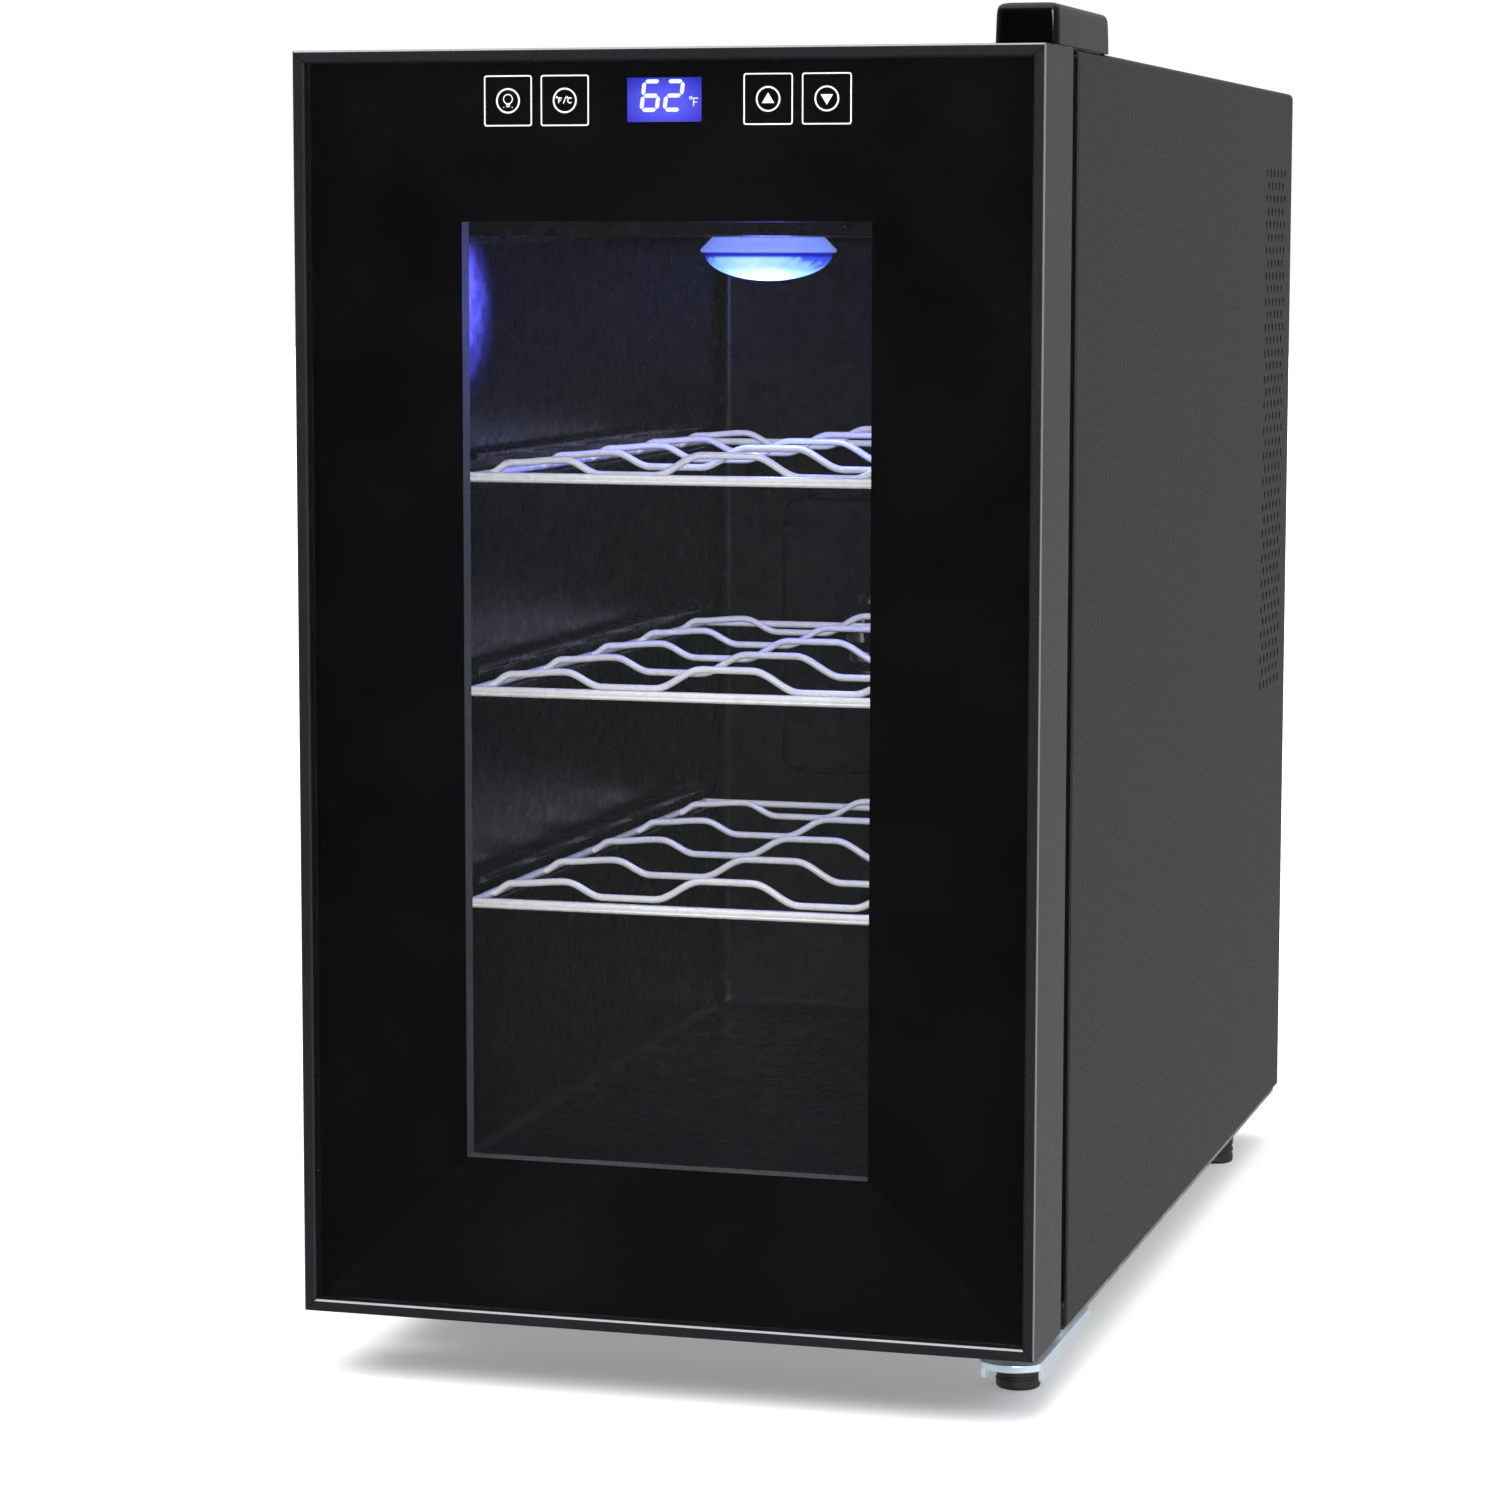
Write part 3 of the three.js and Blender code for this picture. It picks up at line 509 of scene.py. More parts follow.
def lens():
    """A frosted lens over blue LEDs: near white low in its bowl, then light blue, with a deep blue band
    just under its rim."""
    made = Shader("lamp_lens", Roughness=0.2, Emission_Strength=1.15)
    (x0, y0, z0), (x1, y1, z1) = mm("lamp_lens")
    centre = ((x0 + x1) / 2 * MM, (y0 + y1) / 2 * MM, (z0 + 2.6) * MM)
    size = (1 / ((x1 - x0) / 2 * MM), 1 / ((y1 - y0) / 2 * MM), 1 / ((z1 - z0) * MM))
    away = made.vector("MULTIPLY", made.vector("SUBTRACT", made.place, centre)[0], size)[0]
    shares = made.parts(away)
    flat = made.node("CombineXYZ", {"X": shares["X"], "Y": 0.0, "Z": shares["Z"]}).outputs[0]
    reach = made.vector("LENGTH", flat)["Value"]
    ripples = made.spread(made.noise(3.0), -0.08, 0.08)
    ramp = made.node("ValToRGB", {"Fac": made.math("ADD", reach, ripples)})
    stops = ramp.color_ramp.elements
    stops[0].position, stops[0].color = 0.15, (*linear(196, 232, 250), 1)
    stops[1].position, stops[1].color = 1.0, (*linear(60, 84, 230), 1)
    stops.new(0.8).color = (*linear(136, 190, 255), 1)
    height = made.parts(made.place)["Z"]
    band = made.spread(height, 0, 1, (z1 - 1.7) * MM, (z1 - 0.7) * MM)
    lit = made.mix(band, ramp.outputs["Color"], linear(24, 26, 170))
    made.feed("Emission Color", lit)
    made.feed("Base Color", lit)
    made.bump(made.noise(1.2), 0.02)
    return made.material


WHITE_INK = glowing("white_ink", linear(226, 226, 230), 0.55)
DIGIT_GLOW = glowing("digit_glow", linear(196, 206, 246), 0.68)
LAMP_RING = glowing("lamp_ring", linear(128, 152, 255), 0.9, 0.25)
SCREEN = screen()
LENS = lens()


# ---- case ----

CASE_LO, CASE_HI = mm("cabinet_wrapper")
SIDE = CASE_HI[0]
TOP = CASE_HI[2]
CORNER = 2.5
SHEET = 1.0


def wrapper_section(inset):
    """The wrapper's U section, its outer skin moved in by inset."""
    outer = []
    for hand in (1, -1):
        arc = []
        for i in range(7):
            t = pi / 2 * i / 6
            x = SIDE - CORNER + (CORNER - inset) * cos(t)
            arc.append((hand * x, TOP - CORNER + (CORNER - inset) * sin(t)))
        foot_end = [(hand * (SIDE - inset), CASE_LO[2])]
        outer += foot_end + arc if hand > 0 else arc[::-1] + foot_end
    reach, ceiling = SIDE - SHEET, TOP - SHEET
    return outer + [(-reach, CASE_LO[2]), (-reach, ceiling), (reach, ceiling), (reach, CASE_LO[2])]


def perforations():
    """Round holes in staggered columns, through both side walls."""
    columns, rows, step, pitch = 11, 21, 4.6, 10.8
    holes = []
    for column in range(columns):
        odd = column % 2
        for row in range(rows - odd):
            outline = circle(190 + column * step, 205.8 + row * pitch + odd * pitch / 2, 1.8, 14, 0.5)
            holes.append(prism("hole", outline, (-SIDE - 4, SIDE + 4), "X"))
    return merge("holes", holes)


def cabinet_wrapper():
    front, back = CASE_LO[1], CASE_HI[1]
    stations = [(0.55, front), (0.2, front + 0.15), (0.0, front + 0.6), (0.0, back - 0.4), (0.3, back)]
    loops = [standing(wrapper_section(inset), y) for inset, y in stations]
    shell = cut(loft("cabinet_wrapper_skin", loops), perforations())
    piece(shell, "case", "case_paint", CASE_PAINT, "cabinet_wrapper")


def grille(centre, rows, pitch, reach, half_slot, span):
    """Slots with round ends, stacked about a height and shortened to fill a circle."""
    slots = []
    for row in range(-rows, rows + 1):
        half = sqrt(reach ** 2 - (row * pitch) ** 2)
        z = centre + row * pitch
        slots.append(prism("slot", centred(0, z, half, half_slot, half_slot, 6), span, "Y"))
    return slots


def pan_head(x, y, z, radius=3.4, height=1.8):
    """A pan-head screw's head with a cross recess, standing out backwards from y."""
    rows = [(0.0, height), (radius * 0.45, height * 0.97), (radius * 0.8, height * 0.75)]
    rows += [(radius * 0.97, height * 0.4), (radius, 0.0), (0.0, 0.0)]
    head = lathe("head", rows, (x, y, z), "Y", 28)
    arm, half = radius * 0.55, radius * 0.13
    for a, b in ((arm, half), (half, arm)):
        head = cut(head, block("slot", (x - a, y + height * 0.55, z - b), (x + a, y + height * 1.5, z + b)))
    return head


def rear_panel():
    lo, hi = mm("rear_panel")
    through = (lo[1] - 2, hi[1] + 2)
    panel = prism("rear_panel_skin", rounded(lo[0], hi[0], lo[2], hi[2], 2), (lo[1], hi[1]), "Y")
    fan_z = middle("hot_fan_frame")[2]
    tools = grille(fan_z, 5, 9, 56, 2.5, through)
    (ax, _, az), (bx, _, bz) = mm("power_inlet")
    tools.append(prism("slot", rounded(ax + 5.5, bx - 5.5, az + 2.5, bz - 2.5, 2), through, "Y"))
    panel = cut(panel, merge("slots", tools))
    piece(panel, "case", "case_paint", CASE_PAINT, "rear_panel")
    edge = 118
    places = [(x, z) for x in (-edge, 0, edge) for z in (lo[2] + 9, hi[2] - 9)]
    places += [(-edge, fan_z), (edge, fan_z)]
    heads = [pan_head(x, hi[1] - 0.05, z) for x, z in places]
    piece(merge("rear_panel_screws", heads), "case", "screw_steel", DARK_STEEL)


# The bottle room inside the liner.
ROOM_HALF = 94
ROOM_LOW = 66
ROOM_TOP = 394.5
ROOM_BACK = 140
LINER_WALL = 2.5


def inner_liner():
    """A tray with a front flange, and ribs that carry the shelves."""
    lo, hi = mm("inner_liner")
    front = lo[1]
    reach = ROOM_HALF + LINER_WALL
    low, high = (-reach, front + 0.8, ROOM_LOW - LINER_WALL), (reach, hi[1], ROOM_TOP + LINER_WALL)
    shell = block("inner_liner_skin", low, high)
    flange = prism("flange", rounded(lo[0], hi[0], lo[2], hi[2], 3), (front, front + 2), "Y")
    room = block("room", (-ROOM_HALF, front - 20, ROOM_LOW), (ROOM_HALF, ROOM_BACK, ROOM_TOP))
    bevel(room, 5, 5)
    cooler_hole = block("hole", (-22, ROOM_BACK - 2, 208), (22, hi[1] + 2, 252))
    liner = cut(join(shell, flange), room, cooler_hole)
    ribs = []
    for level in SHELF_LEVELS:
        for hand in (-1, 1):
            for z in (level - 4.8, level + 5.5):
                ends = sorted((hand * 86.5, hand * (ROOM_HALF + 0.6)))
                rib = block("rib", (ends[0], -192, z), (ends[1], 104, z + 3))
                ribs.append(bevel(rib, 0.9, 3))
    liner = join(liner, merge("ribs", ribs))
    piece(liner, "case", "liner_plastic", LINER, "inner_liner")


def power_inlet():
    """A mains inlet: a flanged body with a recess and three flat pins."""
    lo, hi = mm("power_inlet")
    cx, _, cz = middle("power_inlet")
    back = hi[1]
    body = block("power_inlet_skin", (cx - 14, lo[1], cz - 11), (cx + 14, back - 1, cz + 11))
    section = [(0, back - 2.2, 3.5), (0, back - 0.7, 3.5), (0.35, back - 0.2, 3.15), (0.9, back, 2.6)]
    body = join(body, slab("flange", lo, hi, section))
    recess = prism("recess", centred(cx, cz, 11.5, 8, 2.5), (238, back + 2), "Y")
    piece(cut(body, recess), "case", "black_plastic", BLACK_PLASTIC, "power_inlet")
    pins = []
    for x, z in ((cx - 6.5, cz - 2.2), (cx + 6.5, cz - 2.2), (cx, cz + 2.4)):
        pin = block("pin", (x - 1.1, 237, z - 2.1), (x + 1.1, back - 3.5, z + 2.1))
        pins.append(bevel(pin, 0.6, 3))
    piece(merge("power_inlet_pins", pins), "case", "pin_steel", PIN_STEEL)


def foot(node, stem=False):
    """A rubber foot with a soft bottom edge and two shallow grooves; one has a stem above it."""
    top = mm(node)[1][2]
    x, y, _ = middle(node)
    r = 7.75
    height = 11.5 if stem else top
    rows = [(0, 0.4), (3.6, 0.4), (4.0, 0), (r - 1.3, 0), (r - 0.5, 0.25), (r - 0.1, 0.8), (r, 1.4)]
    for groove in ((3.4, 3.8, 4.4, 4.8), (6.4, 6.8, 7.4, 7.8)):
        for z, depth in zip(groove, (0, 0.45, 0.45, 0)):
            rows.append((r - depth, z))
    if stem:
        rows += [(r, height - 0.8), (r - 0.25, height - 0.25), (r - 0.8, height)]
        rows += [(3, height), (3, top), (0, top)]
    else:
        rows += [(r + 0.5, height - 3), (r + 0.75, height - 0.4), (r + 0.4, height), (0, height)]
    made = lathe(node + "_rubber", rows, (x, y, 0), "Z", 56)
    piece(made, "case", "foot_rubber", FOOT_RUBBER, node)


# ---- hinges ----

def bend(points, corner, end, steps):
    """Adds a quadratic curve from the last point, past a corner, to an end."""
    a = points[-1]
    for i in range(1, steps + 1):
        t = i / steps
        shares = ((a, (1 - t) ** 2), (corner, 2 * t * (1 - t)), (end, t * t))
        points.append(tuple(sum(p[k] * share for p, share in shares) for k in (0, 1)))


def lower_bracket():
    """A plate with a wide round tongue and two folded flanges whose front ends stop short of it."""
    (x0, front, low), (x1, back, over) = mm("lower_hinge_bracket")
    mid = (x0 + x1) / 2
    under = over - 2.5
    plan = [(x0, back - 4), (x0, front + 7.5), (x0 + 1.2, front + 4.2)]
    bend(plan, (mid - 5, front), (mid, front), 8)
    bend(plan, (mid + 5, front), (x1 - 1.2, front + 4.2), 8)
    plan += [(x1, front + 7.5), (x1, back - 4)]
    bend(plan, (x1, back), (x1 - 4, back), 5)
    plan += [(x0 + 4, back)]
    bend(plan, (x0, back), (x0, back - 4), 5)
    plan.pop()
    bracket = prism("lower_hinge_bracket_plate", plan, (under, over), "Z")
    bevel(bracket, 0.35, 2, 60)
    wall, slack = 1.6, 0.02
    start = front + 8.5
    for inner, outer in ((x0, x0 + wall), (x1 - wall, x1)):
        side = [(start, over - 0.6), (start, low + 2.4)]
        bend(side, (front + 8.7, low), (front + 11.2, low), 6)
        side += [(front + 34, low)]
        bend(side, (front + 40, low), (front + 44, low + 2.2), 5)
        side += [(back - 7, low + 2.6)]
        bend(side, (back - 0.6, low + 2.9), (back - 0.6, over - 0.6), 6)
        flange = prism("flange", side, (inner + slack, outer - slack), "X")
        bevel(flange, 0.3, 2, 60)
        bracket = join(bracket, flange)
    bores = {
        "lower_hinge_pin": (3.3, 32),
        "foot_front_right": (3.3, 32),
        "lower_hinge_screw_1": (2.2, 24),
        "lower_hinge_screw_2": (2.2, 24),
    }
    holes = []
    for node, (radius, sides) in bores.items():
        x, y, _ = middle(node)
        holes.append(rod((x, y, 0), radius, (10, 25), "Z", sides))
    bracket = cut(bracket, merge("holes", holes))
    piece(bracket, "case", "zinc_plate", ZINC, "lower_hinge_bracket")


def hinge_cover():
    """The gloss cap: a hollow box, its sides drawn in a little towards the top."""
    lo, hi = mm("top_hinge_cover")
    stations = [(0.0, 0.0), (0.0, 0.4), (0.1, 5.0), (0.25, 9.6)]
    stations += [(0.42, 11.4), (0.85, 12.5), (1.7, 13.2), (2.9, 13.5)]
    loops = []
    for inset, up in stations:
        deep = inset * 1.15
        outline = rounded(lo[0] + inset, hi[0] - inset, lo[1] + deep, hi[1] - deep, 2.6, 6)
        loops.append([(x, y, lo[2] + up) for x, y in outline])
    cap = loft("top_hinge_cover_cap", loops)
    wall, deep_wall = 1.5, 2.5
    low, high = (lo[0] + wall, lo[1] + deep_wall, lo[2] - 1), (hi[0] - wall, hi[1] - deep_wall, hi[2] - wall)
    piece(cut(cap, block("room", low, high)), "case", "gloss_cover", GLOSS_COVER, "top_hinge_cover")


# ---- cooling unit ----

def cold_fan_cover():
    """A hollow cover with a slotted face over the fan and an outlet above and below."""
    lo, hi = mm("cold_fan_cover")
    front = lo[1]
    section = [(4.0, front, 4.0), (2.2, front + 0.4, 5.8), (0.8, front + 1.5, 7.2)]
    section += [(0.15, front + 3.5, 7.85), (0, front + 7, 8), (0, hi[1], 8)]
    cover = slab("cold_fan_cover_skin", lo, hi, section)
    wall = 2
    inside = rounded(lo[0] + wall, hi[0] - wall, lo[2] + wall, hi[2] - wall, 6)
    room = prism("room", inside, (front + 2.4, hi[1] + 2), "Y")
    tools = [block("outlet", (-40, 114, lo[2] - 2), (40, 132, hi[2] + 2))]
    tools += grille((lo[2] + hi[2]) / 2, 3, 8, 29, 2, (front - 2, front + 6))
    cover = cut(cut(cover, room), merge("slots", tools))
    piece(cover, "case", "liner_plastic", LINER, "cold_fan_cover")


HUB_SHARE = 0.17
SHAFT_SHARE = 0.02


def fan_frame(node, size, depth):
    """A square frame with a flared duct, four screw holes and a hub on four arms at the back."""
    (_, y0, _), (_, y1, _) = mm(node)
    cz = middle(node)[2]
    centre, through = (0, 0, cz), (y0 - 1, y1 + 1)
    half = size / 2
    hub = size * HUB_SHARE
    thin = size * 0.018
    plate = prism(node + "_moulding", centred(0, cz, half, half, size * 0.05), (y0, y1), "Y")
    mouth, throat, flare = half - 1.6, half - 2.5, depth * 0.2
    rows = [(0, y0 - 1), (mouth, y0 - 1), (throat, y0 + flare)]
    rows += [(throat, y1 - flare), (mouth, y1 + 1), (0, y1 + 1)]
    tools = [lathe("duct", rows, centre, "Y", 72)]
    for x in (-1, 1):
        for z in (-1, 1):
            spot = (x * half * 0.875, 0, cz + z * half * 0.875)
            tools.append(rod(spot, thin, through, "Y", 20))
    plate = cut(plate, *tools)
    rows = [(0, y1 - 3), (hub - 0.5, y1 - 3), (hub, y1 - 2.6), (hub, y1 - 0.4), (hub - 0.4, y1), (0, y1)]
    arms = [lathe("hub", rows, centre, "Y", 48)]
    near, far, skew = hub - 1, half - 1.8, 0.35
    for k in range(4):
        turn = pi / 4 + k * pi / 2
        bent = turn + skew
        outline = []
        for r, t, s in ((near, turn, -thin), (far, bent, -thin), (far, bent, thin), (near, turn, thin)):
            outline.append((r * cos(t) - s * sin(t), cz + r * sin(t) + s * cos(t)))
        arms.append(prism("arm", outline, (y1 - 2.8, y1 - 0.2), "Y"))
    plate = join(plate, *arms)
    bore = rod(centre, size * SHAFT_SHARE + 0.3, through, "Y", 20)
    piece(cut(plate, bore), "case", "black_plastic", BLACK_PLASTIC, node)


def fan_rotor(node, body, size, depth):
    """A round hub on a shaft, with seven swept and twisted blades."""
    y0 = mm(node)[0][1]
    cz = middle(node)[2]
    length = depth - 5
    hub, tip, shaft = size * HUB_SHARE, size / 2 - 5.6, size * SHAFT_SHARE
    edge = length * 0.12
    rows = [(0, y0), (hub - edge, y0), (hub - edge * 0.3, y0 + edge * 0.3), (hub, y0 + edge)]
    rows += [(hub, y0 + length), (shaft, y0 + length), (shaft, y0 + depth - 1), (0, y0 + depth - 1)]
    rotor = lathe(node + "_moulding", rows, (0, 0, cz), "Y", 48)
    blades = []
    for k in range(7):
        loops = []
        for i in range(7):
            s = i / 6
            r = hub - 0.6 + s * (tip - hub + 0.6)
            sweep = (0.34 + 0.08 * s) * hub / r + 0.16
            skew = 0.3 * s * s
            top_line, low_line = [], []
            for j in range(9):
                u = -1 + j / 4
                thick = 0.55 * (1 - 0.75 * u * u) + 0.12
                y = y0 + length / 2 + u * (length / 2 - 0.5) * (0.96 - 0.1 * s)
                turn = 2 * pi * k / 7 + skew + sweep * (u + 0.25 * (1 - u * u))
                for line, side in ((top_line, 1), (low_line, -1)):
                    t = turn + side * thick / r
                    line.append((r * cos(t), y, cz + r * sin(t)))
            loops.append(top_line + low_line[::-1])
        blades.append(loft("blade", loops))
    piece(join(rotor, *blades), body, "black_plastic", BLACK_PLASTIC, node)


def light(name, kind, energy, spot=(0, 0, 0), aim=None, **settings):
    """A light at a place in millimetres, turned to shine along aim."""
    data = bpy.data.lights.new(name, kind)
    data.energy = energy
    for key, value in settings.items():
        setattr(data, key, value)
    obj = add(name, data)
    obj.location = [v * MM for v in spot]
    if aim:
        obj.rotation_euler = Vector(aim).to_track_quat("-Z", "Y").to_euler()


def lamp():
    """The ceiling lamp: a ring, a bowl, a soft glow, and a beam that lights a patch of the left wall."""
    (x0, _, z0), (x1, _, z1) = mm("lamp_base")
    y = middle("lamp_base")[1]
    r = (x1 - x0) / 2
    rows = [(0, z1), (r - 4.4, z1), (r - 3.2, z1 - 1.1), (r - 1.2, z0 + 2.2), (r - 0.1, z0 + 1.2)]
    rows += [(r, z0 + 0.8), (r - 0.1, z0 + 0.4), (r - 0.6, z0), (0, z0)]
    piece(lathe("lamp_ring", rows, (0, y, 0), "Z", 72), "case", "lamp_lens", LAMP_RING, "lamp_base")
    (x0, _, z0), (x1, _, z1) = mm("lamp_lens")
    radius, drop, wall, steps = (x1 - x0) / 2, z1 - z0, 1.5, 14
    arcs = [(pi / 2 * i / steps) for i in range(steps + 1)]
    outside = [(radius * sin(a), z1 - drop * cos(a)) for a in arcs]
    inside = [((radius - wall) * sin(a), z1 - (drop - wall) * cos(a)) for a in arcs]
    bowl = lathe("lamp_bowl", outside + inside[::-1], (0, y, 0), "Z", 72)
    piece(bowl, "case", "lamp_lens", LENS, "lamp_lens")
    light("lamp_glow", "POINT", 0.8, (0, y, z0 - 9), color=(0.12, 0.16, 1.0), shadow_soft_size=0.008)
    light(
        "lamp_side_glow", "SPOT", 30.0, (-20, y, z0 - 4), (-74, -66, -8),
        color=(0.1, 0.1, 1.0), spot_size=radians(38), spot_blend=1.0, shadow_soft_size=0.006,
    )


# ---- door ----

(_, DOOR_FRONT, DOOR_LOW), (_, DOOR_BACK, DOOR_HIGH) = mm("door_rail_right")
GLASS_LO, GLASS_HI = mm("outer_glass")
GLASS_BACK = GLASS_HI[1]
# The clear window between the printed bands: left, right, bottom and top.
WINDOW = (-71, 71, 80, 399)


def rail_section():
    """The frame's section as (depth, y), depth measured in from its outer face."""
    lip, wall, foot_depth, seat, edge = 4.2, 1.8, 14, DOOR_FRONT + 5.2, 0.9
    turns = [pi / 2 * i / 4 for i in range(5)]
    points = [(edge - edge * sin(t), DOOR_FRONT + edge - edge * cos(t)) for t in turns]
    points += [(edge - edge * cos(t), DOOR_BACK - edge + edge * sin(t)) for t in turns]
    points += [(foot_depth, DOOR_BACK), (foot_depth, DOOR_BACK - 2), (wall, DOOR_BACK - 2), (wall, seat + 2)]
    points += [(10, seat + 2), (10, seat), (lip, seat), (lip, DOOR_FRONT + 0.6), (lip - 0.6, DOOR_FRONT)]
    return points


def door_rail(node):
    """One mitred side of the door frame."""
    section = rail_section()
    gap = 0.12
    mid_z, half_z = (DOOR_LOW + DOOR_HIGH) / 2, (DOOR_HIGH - DOOR_LOW) / 2
    side = node.rsplit("_", 1)[1]
    across = side in ("top", "bottom")
    out = 1 if side in ("top", "right") else -1
    ends = []
    for hand in (-1, 1):
        loop = []
        for depth, y in section:
            if across:
                loop.append((hand * (SIDE - depth - gap), y, mid_z + out * (half_z - depth)))
            else:
                loop.append((out * (SIDE - depth), y, mid_z + hand * (half_z - depth - gap)))
        ends.append(loop)
    rail = loft(node + "_extrusion", ends)
    if across:
        x, y, _ = middle("lower_hinge_pin")
        z = DOOR_HIGH if side == "top" else DOOR_LOW
        rail = cut(rail, rod((x, y, 0), 5.8, (z - 5, z + 5), "Z", 40))
    piece(rail, "door", "door_frame", DOOR_FRAME, node)


def outer_glass():
    front, back = GLASS_LO[1], GLASS_BACK
    section = [(0.6, front, 0.8), (0.15, front + 0.15, 0.8), (0, front + 0.6, 0.8), (0, back - 0.4, 0.8)]
    pane = slab("outer_glass_pane", GLASS_LO, GLASS_HI, section + [(0.4, back, 0.8)])
    piece(pane, "door", "tinted_glass", OUTER_GLASS, "outer_glass")


# The row of keys and the display: their height, each key's x, and half the display's width and height.
KEY_Z = 439.0
KEYS = {"bulb": -54.4, "unit": -34.5, "up": 35.6, "down": 55.5}
SCREEN_HALF = (12.85, 7.3)
# Depths of the ink layers behind the glass.
INK_Y = (GLASS_BACK + 0.04, GLASS_BACK + 0.08)
BORDER_Y = (GLASS_BACK + 0.12, GLASS_BACK + 0.3)


def glass_border():
    """Four mitred bands of ink behind the glass, with an opening for the display."""
    (gx0, _, gz0), (gx1, _, gz1) = GLASS_LO, GLASS_HI
    wx0, wx1, wz0, wz1 = WINDOW
    outer = [(gx0, gz1), (gx1, gz1), (gx1, gz0), (gx0, gz0)]
    inner = [(wx0, wz1), (wx1, wz1), (wx1, wz0), (wx0, wz0)]
    # Painted reflection: the top and bottom bands get lighter levels than the side bands, for the studio
    # light the glass mirrors there.
    for k, (name, level) in enumerate({"top": 7, "right": 5, "bottom": 9, "left": 5}.items()):
        after = (k + 1) % 4
        outline = [outer[k], outer[after], inner[after], inner[k]]
        band = prism("glass_border_" + name, outline, BORDER_Y, "Y")
        if name == "top":
            opening = centred(0, KEY_Z, *SCREEN_HALF, 0.4)
            band = cut(band, prism("opening", opening, (BORDER_Y[0] - 1, BORDER_Y[1] + 1), "Y"))
        piece(band, "door", "tinted_glass", border_ink_and_reflection("border_" + name, level))


class Ink:
    """Flat marks drawn in (x, z) and given the ink's small thickness."""

    def __init__(self, span):
        self.span = span
        self.made = []

    def fill(self, outline):
        self.made.append(prism("mark", outline, self.span, "Y"))

    def loop(self, outer, inner):
        """The band between two outlines."""
        y0, y1 = self.span
        loops = [standing(outer, y0), standing(inner, y0), standing(inner, y1), standing(outer, y1)]
        self.made.append(loft("mark", loops, closed=True))

    def circle(self, x, z, radius, width):
        self.loop(circle(x, z, radius + width / 2, 40), circle(x, z, radius - width / 2, 40))

    def stroke(self, points, width):
        """A line with square ends and mitred bends."""
        left, right = [], []
        for i, (x, z) in enumerate(points):
            before = Vector(points[max(i - 1, 0)])
            after = Vector(points[min(i + 1, len(points) - 1)])
            here = Vector((x, z))
            a = (here - before).normalized() if i else (after - here).normalized()
            b = (after - here).normalized() if i < len(points) - 1 else a
            normal = Vector((-(a + b).y, (a + b).x)).normalized()
            half = width / 2 / max(normal.dot(Vector((-a.y, a.x))), 0.4)
            left.append((x + normal.x * half, z + normal.y * half))
            right.append((x - normal.x * half, z - normal.y * half))
        self.fill(left + right[::-1])

    def object(self, name):
        return merge(name, self.made)


def key_marks():
    """Four square keys, each with a ring round a sign: a bulb, two temperature units, up and down."""
    ink = Ink(INK_Y)
    half, line = 8.4, 0.45
    thick, thin = 0.34, 0.3
    for x in KEYS.values():
        inside = half - line
        ink.loop(centred(x, KEY_Z, half, half, 0.9), centred(x, KEY_Z, inside, inside, 0.6))
        ink.circle(x, KEY_Z, 3.9, 0.55)
    x = KEYS["bulb"]
    ink.circle(x, KEY_Z + 0.55, 1.55, 0.32)
    for k in range(2):
        z = KEY_Z - 1.35 - 0.55 * k
        ink.stroke([(x - 0.75 + 0.15 * k, z), (x + 0.75 - 0.15 * k, z)], 0.32)
    for turn in (-60, -120):
        t = radians(turn)
        spot = (x + 2.95 * cos(t), KEY_Z + 0.4 + 2.95 * sin(t))
        ink.fill(circle(*spot, 0.2, 4))
    x = KEYS["unit"]
    ink.stroke([(x - 2.1, KEY_Z - 0.85), (x - 2.1, KEY_Z + 0.8), (x - 1.0, KEY_Z + 0.8)], thick)
    ink.stroke([(x - 2.1, KEY_Z + 0.05), (x - 1.2, KEY_Z + 0.05)], thin)
    ink.stroke([(x - 0.5, KEY_Z - 1.0), (x + 0.35, KEY_Z + 1.0)], thin)
    bow = [(2.35, 0.6), (1.95, 0.85), (1.4, 0.8), (1.1, 0.35)]
    bow += [(dx, -dz) for dx, dz in bow[::-1]]
    ink.stroke([(x + dx, KEY_Z + dz) for dx, dz in bow], thick)
    for dx in (-2.75, 0.75):
        ink.circle(x + dx, KEY_Z + 1.05, 0.28, 0.2)
    for name, hand in (("up", 1), ("down", -1)):
        x = KEYS[name]
        ink.fill([(x - 2.1, KEY_Z - 1.35 * hand), (x + 2.1, KEY_Z - 1.35 * hand), (x, KEY_Z + 2.05 * hand)])
    piece(ink.object("key_marks"), "door", "lcd_screen", WHITE_INK)


# Seven-segment strokes on a 2 by 4 grid, (x, z) from the lower left.
SEGMENTS = {
    "a": ((0, 4), (2, 4)),
    "b": ((2, 4), (2, 2)),
    "c": ((2, 2), (2, 0)),
    "d": ((0, 0), (2, 0)),
    "e": ((0, 2), (0, 0)),
    "f": ((0, 4), (0, 2)),
    "g": ((0, 2), (2, 2)),
}
DIGITS = {"6": "acdefg", "2": "abged"}


def digit(ink, text, x, z, unit=(2.65, 2.32), width=1.35, slant=0.12):
    """A slanted digit with its lower left corner at (x, z) and grid steps of a unit."""
    for name in DIGITS[text]:
        (ax, az), (bx, bz) = SEGMENTS[name]
        a = Vector((x + ax * unit[0], z + az * unit[1]))
        b = Vector((x + bx * unit[0], z + bz * unit[1]))
        along = (b - a).normalized()
        side = Vector((-along.y, along.x)) * width / 2
        a += along * width * 0.16
        b -= along * width * 0.16
        near, far = a + along * width / 2, b - along * width / 2
        outline = [a, near + side, far + side, b, far - side, near - side]
        ink.fill([(p.x + slant * (p.y - z), p.y) for p in outline])


